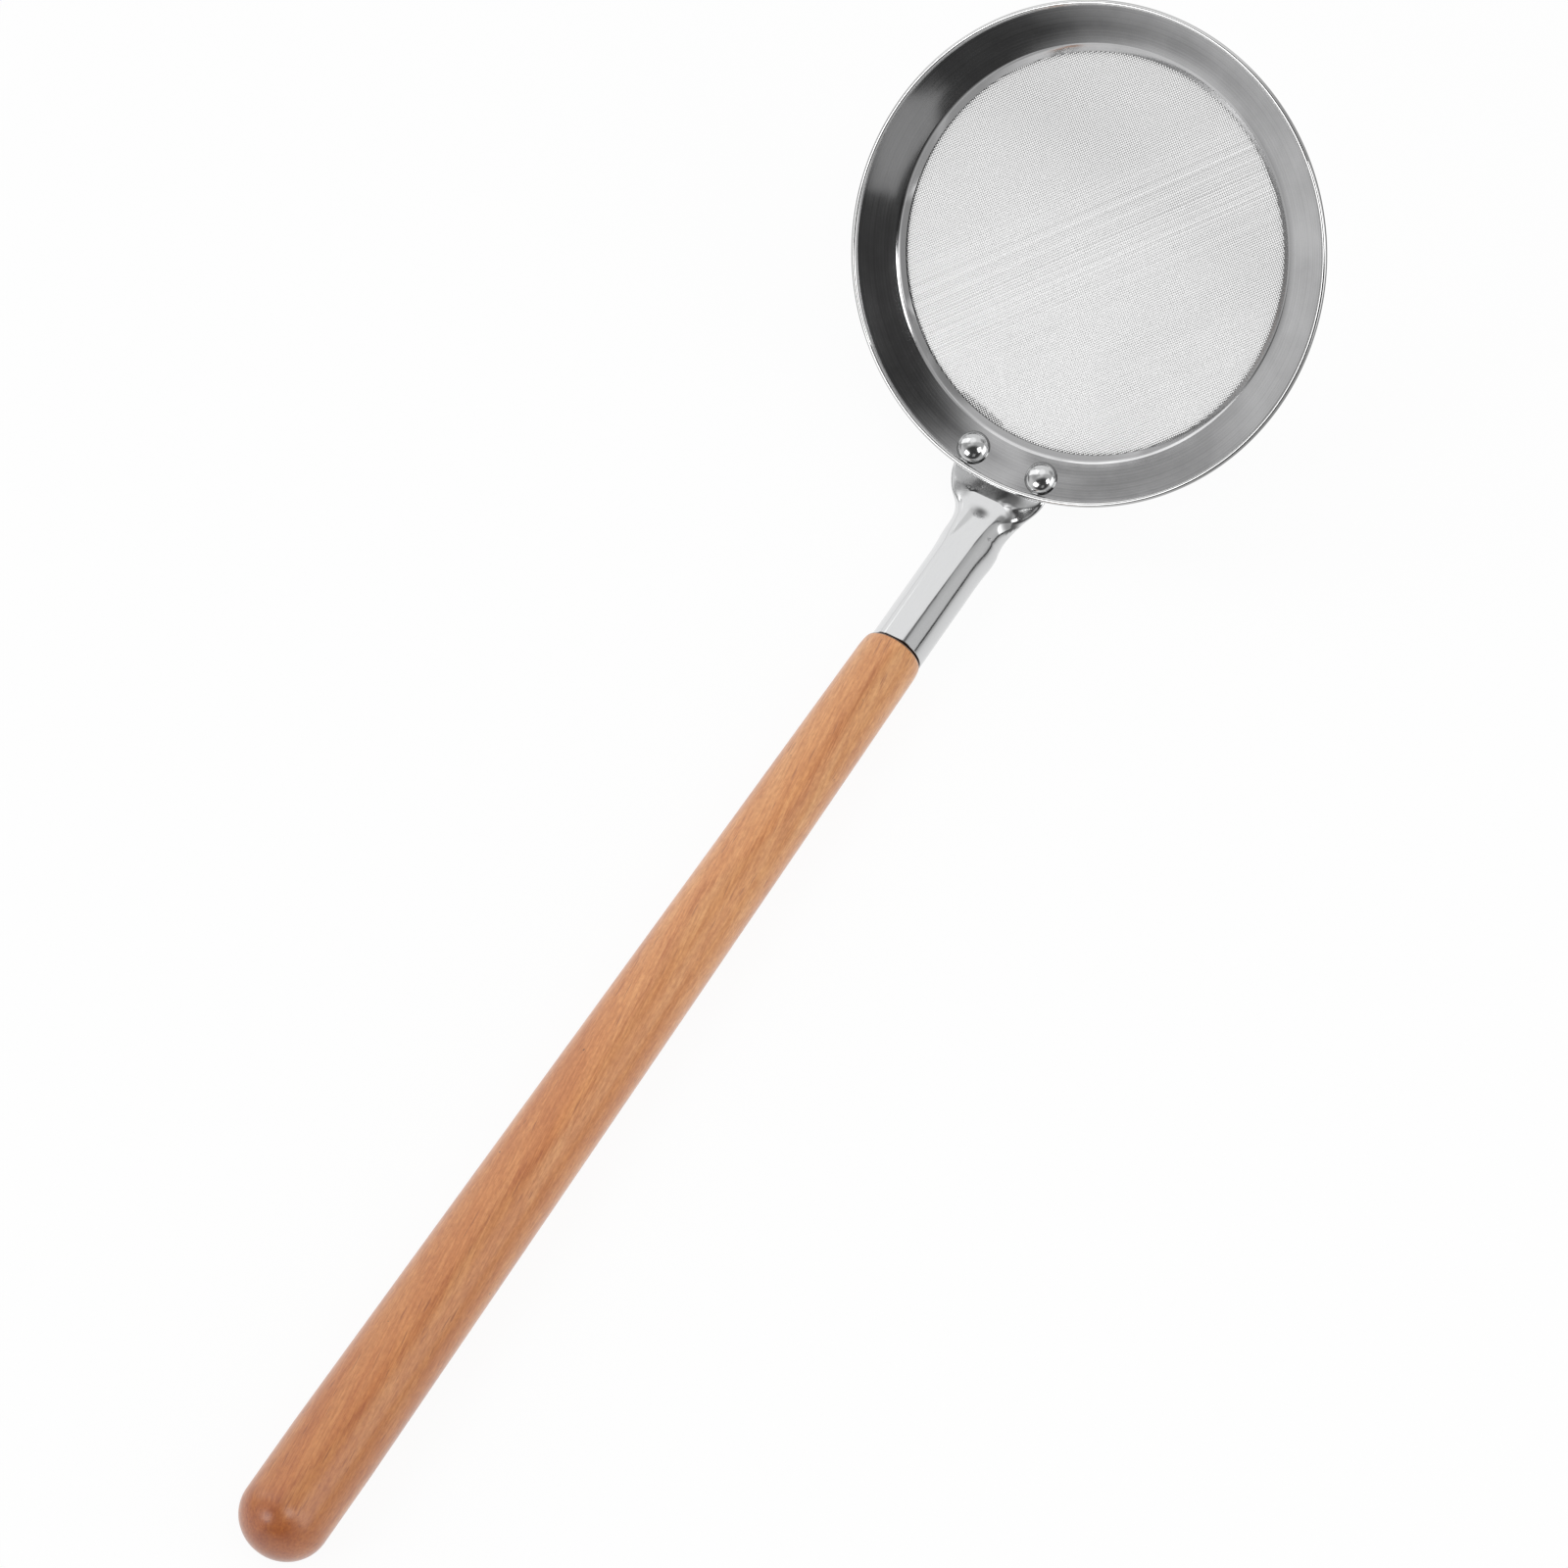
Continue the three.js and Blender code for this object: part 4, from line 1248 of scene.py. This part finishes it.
    def outline(self, crease, top, wide, wide_at, under, squareness, corner):
        """Half outlines mirrored into one section: flat top, rounded sides and underside, as (x, z)."""
        half = []
        for step in range(self.side_points + 1):
            turn_by = corner + (math.pi / 2 - corner) * max(0.02, step / self.side_points)
            out = (math.sin(turn_by) - math.sin(corner)) / (1.0 - math.sin(corner))
            down = (math.cos(corner) - math.cos(turn_by)) / math.cos(corner)
            half.append((crease + (wide - crease) * out, top + (wide_at - top) * down))
        for step in range(1, self.under_points + 1):
            turn_by = math.pi / 2 * step / self.under_points
            out = max(0.0, math.cos(turn_by)) ** (2 / squareness)
            down = math.sin(turn_by) ** (2 / squareness)
            half.append((wide * out, wide_at + (under - wide_at) * down))
        flat = [(-crease, top)]
        inner = crease - 0.00015
        for step in range(self.top_points + 1):
            flat.append((-inner + 2 * inner * step / self.top_points, top))
        flat.append((crease, top))
        mirrored = [(-x, z) for x, z in reversed(half[:-1])]
        return flat + half + mirrored

    def tube_ring(self, y, inset):
        """A ring round the tube or the neck, drawn in by an inset."""
        ferrule = self.ferrule
        radius = ferrule.tube_radius
        grow = self.neck_part(y)
        crease_middle = self.crease_middle()
        under_end = crease_middle - ferrule.flange_sheet / 2
        top = self.flat_height(y)
        crease = min(self.crease_half, self.flat_half(y))
        under = -radius + (under_end + radius) * grow**1.9
        spread = max(0.0, (grow - 0.5) / 0.5)
        wide = radius + (self.crease_share * ferrule.flange_width - radius) * spread**1.6
        wide += 0.0004 * math.exp(-(((y + 0.023) / 0.004) ** 2))
        wide_at = (crease_middle - 0.0002) * grow**1.9
        corner = math.asin(min(0.9, crease / radius)) * (1.0 - 0.6 * grow)
        section = self.outline(
            crease - 0.5 * inset, top - inset, wide - inset, wide_at, under + inset, 2 + 2.2 * grow**2, corner
        )
        tilt = 0.5 * self.flange_tilt() * grow**6
        ring = []
        for x, z in section:
            lift = z - (top + under) / 2
            height = (top + under) / 2 + lift * math.cos(tilt)
            if abs(x) < crease * 0.999 and z > wide_at and inset == 0.0:
                height -= self.dent(x, y)
            along = y - lift * math.sin(tilt) - self.corner_sweep(x, y)
            shift = self.shifted(y) * max(0.0, (z - wide_at) / (top - wide_at))
            ring.append((x + self.offset(y) - shift, along, height))
        return ring

    def offset(self, y):
        """How far to the right the tube stands, fading out under the pan."""
        return self.ferrule.tube_offset * eased((-y - 0.004) / 0.012)

    def corner_sweep(self, x, y):
        """How far the crease between the flat and the flange bends back at its corners."""
        beyond = clamp((abs(x) - self.flat_narrow) / (self.crease_half - self.flat_narrow))
        reach = 0.0016 if x < 0.0 else 0.0008
        return reach * beyond**2 * math.exp(-(((y + self.ferrule.neck_end) / 0.0028) ** 2))

    def flange_tilt(self):
        """Angle between the handle and the flange."""
        return self.ferrule.rise - self.lines.slope

    def flange_ring(self, part):
        """A ring round the flange, from the crease at 0 to its end under the pan at 1."""
        ferrule = self.ferrule
        outer = self.crease_radius()
        radius = outer + (self.pan.rim_radius - ferrule.flange_inset - outer) * part
        y, z = self.flange_middle(radius)
        climb = part / 0.35
        z -= ferrule.crease_drop * (1.0 - eased(climb))
        opening = math.sin(clamp(climb) * math.pi / 2)
        closing = max(0.0, (part - 0.86) / 0.14) ** 2
        wide = ferrule.flange_width * (self.crease_share + 0.088 * opening - 0.09 * closing)
        flat = eased(part / 0.22)
        crease = self.crease_half + (0.93 * wide - self.crease_half) * flat
        sheet = ferrule.flange_sheet / 2
        corner = 0.45 + 0.2 * flat
        tilt = self.flange_tilt() * (0.5 + 0.5 * min(1.0, part / 0.08))
        ring = []
        wide_at = -0.0001 * (1 - flat)
        for x, lift in self.outline(crease, sheet, wide, wide_at, -sheet, 4.2 + 1.8 * flat, corner):
            hug = min(1.0, part / 0.3) * math.tan(self.lines.slope) * x * x / (2 * radius)
            across = y - lift * math.sin(tilt) - hug * math.sin(ferrule.rise) - self.corner_sweep(x, y)
            shift = ferrule.flat_shift * (1 - flat) * max(0.0, (lift - wide_at) / (sheet - wide_at))
            x += self.offset(y) - shift
            ring.append((x, across, z + lift * math.cos(tilt) + hug * math.cos(ferrule.rise)))
        return ring


class SKIMMER_OT_handle(bpy.types.Operator):
    """Turn the wooden handle with its tenon, taper and rounded butt"""

    bl_idname = "skimmer.handle"
    bl_label = "Turn the handle"
    bl_options = {"REGISTER", "UNDO"}

    def execute(self, context):
        scene = context.scene
        handle = scene.skimmer_handle
        ferrule = scene.skimmer_ferrule
        start = ferrule.tube_end + scene.skimmer_pan.clearance
        end = start + handle.wood_length
        dome = end - handle.butt_dome
        butt = handle.butt_radius
        front = handle.front_radius
        outline = [(butt * out, dome + handle.butt_dome * up) for out, up in quarter_turn(24)]
        outline[0] = (0.0, end)
        taper_end = dome - handle.butt_straight
        taper_start = start + handle.round_over
        outline.append((butt, taper_end + 0.006))
        for step in range(13):
            part = step / 12
            outline.append((butt + (front - butt) * part, taper_end + (taper_start - taper_end) * part))
        for out, up in quarter_turn(10)[1:]:
            drop = (front - handle.shoulder) * (1.0 - up)
            outline.append((front - drop, taper_start - handle.round_over * out))
        tenon = ferrule.tube_radius - ferrule.tube_wall - 0.0007
        outline += [(tenon, start), (tenon - 0.0003, start - 0.015), (tenon - 0.0015, start - handle.tenon)]
        outline.append((0.0, start - handle.tenon))
        piece = turned(outline, 96, False)
        settle(piece, handle_matrix(handle) @ Matrix.Rotation(math.pi / 2, 4, "X"))
        places = (handle.origin[1] - end, handle.origin[1] - start)
        material = lacquered_beech("lacquered_beech", scene.skimmer_finish, *places)
        finish_piece(piece, "wooden_handle", material, "handle", 40)
        return {"FINISHED"}


class VIEW3D_PT_skimmer(bpy.types.Panel):
    """Sizes, finishes and building steps of the skimmer"""

    bl_label = "Oil skimmer"
    bl_idname = "VIEW3D_PT_skimmer"
    bl_space_type = "VIEW_3D"
    bl_region_type = "UI"
    bl_category = "Skimmer"

    def draw(self, context):
        for operator in OPERATORS:
            self.layout.operator(operator.bl_idname)
        for name, group in GROUPS.items():
            box = self.layout.box()
            box.label(text=group.__doc__.split(",")[0].rstrip("."))
            for key in group.__annotations__:
                box.prop(getattr(context.scene, name), key)


OPERATORS = (
    SKIMMER_OT_stage,
    SKIMMER_OT_pan,
    SKIMMER_OT_mesh,
    SKIMMER_OT_ring,
    SKIMMER_OT_rivets,
    SKIMMER_OT_ferrule,
    SKIMMER_OT_handle,
)
CLASSES = (*GROUPS.values(), *OPERATORS, VIEW3D_PT_skimmer)


def register():
    """Register the classes and hang the settings on the scene."""
    for entry in CLASSES:
        bpy.utils.register_class(entry)
    for name, group in GROUPS.items():
        setattr(bpy.types.Scene, name, bpy.props.PointerProperty(type=group))


def unregister():
    """Undo register."""
    for name in GROUPS:
        delattr(bpy.types.Scene, name)
    for entry in reversed(CLASSES):
        bpy.utils.unregister_class(entry)


def main():
    """Build the whole skimmer."""
    register()
    bpy.ops.skimmer.stage()
    bpy.ops.skimmer.pan()
    bpy.ops.skimmer.mesh()
    bpy.ops.skimmer.ring()
    bpy.ops.skimmer.rivets()
    bpy.ops.skimmer.ferrule()
    bpy.ops.skimmer.handle()
    clear_selection()


if __name__ == "__main__":
    main()
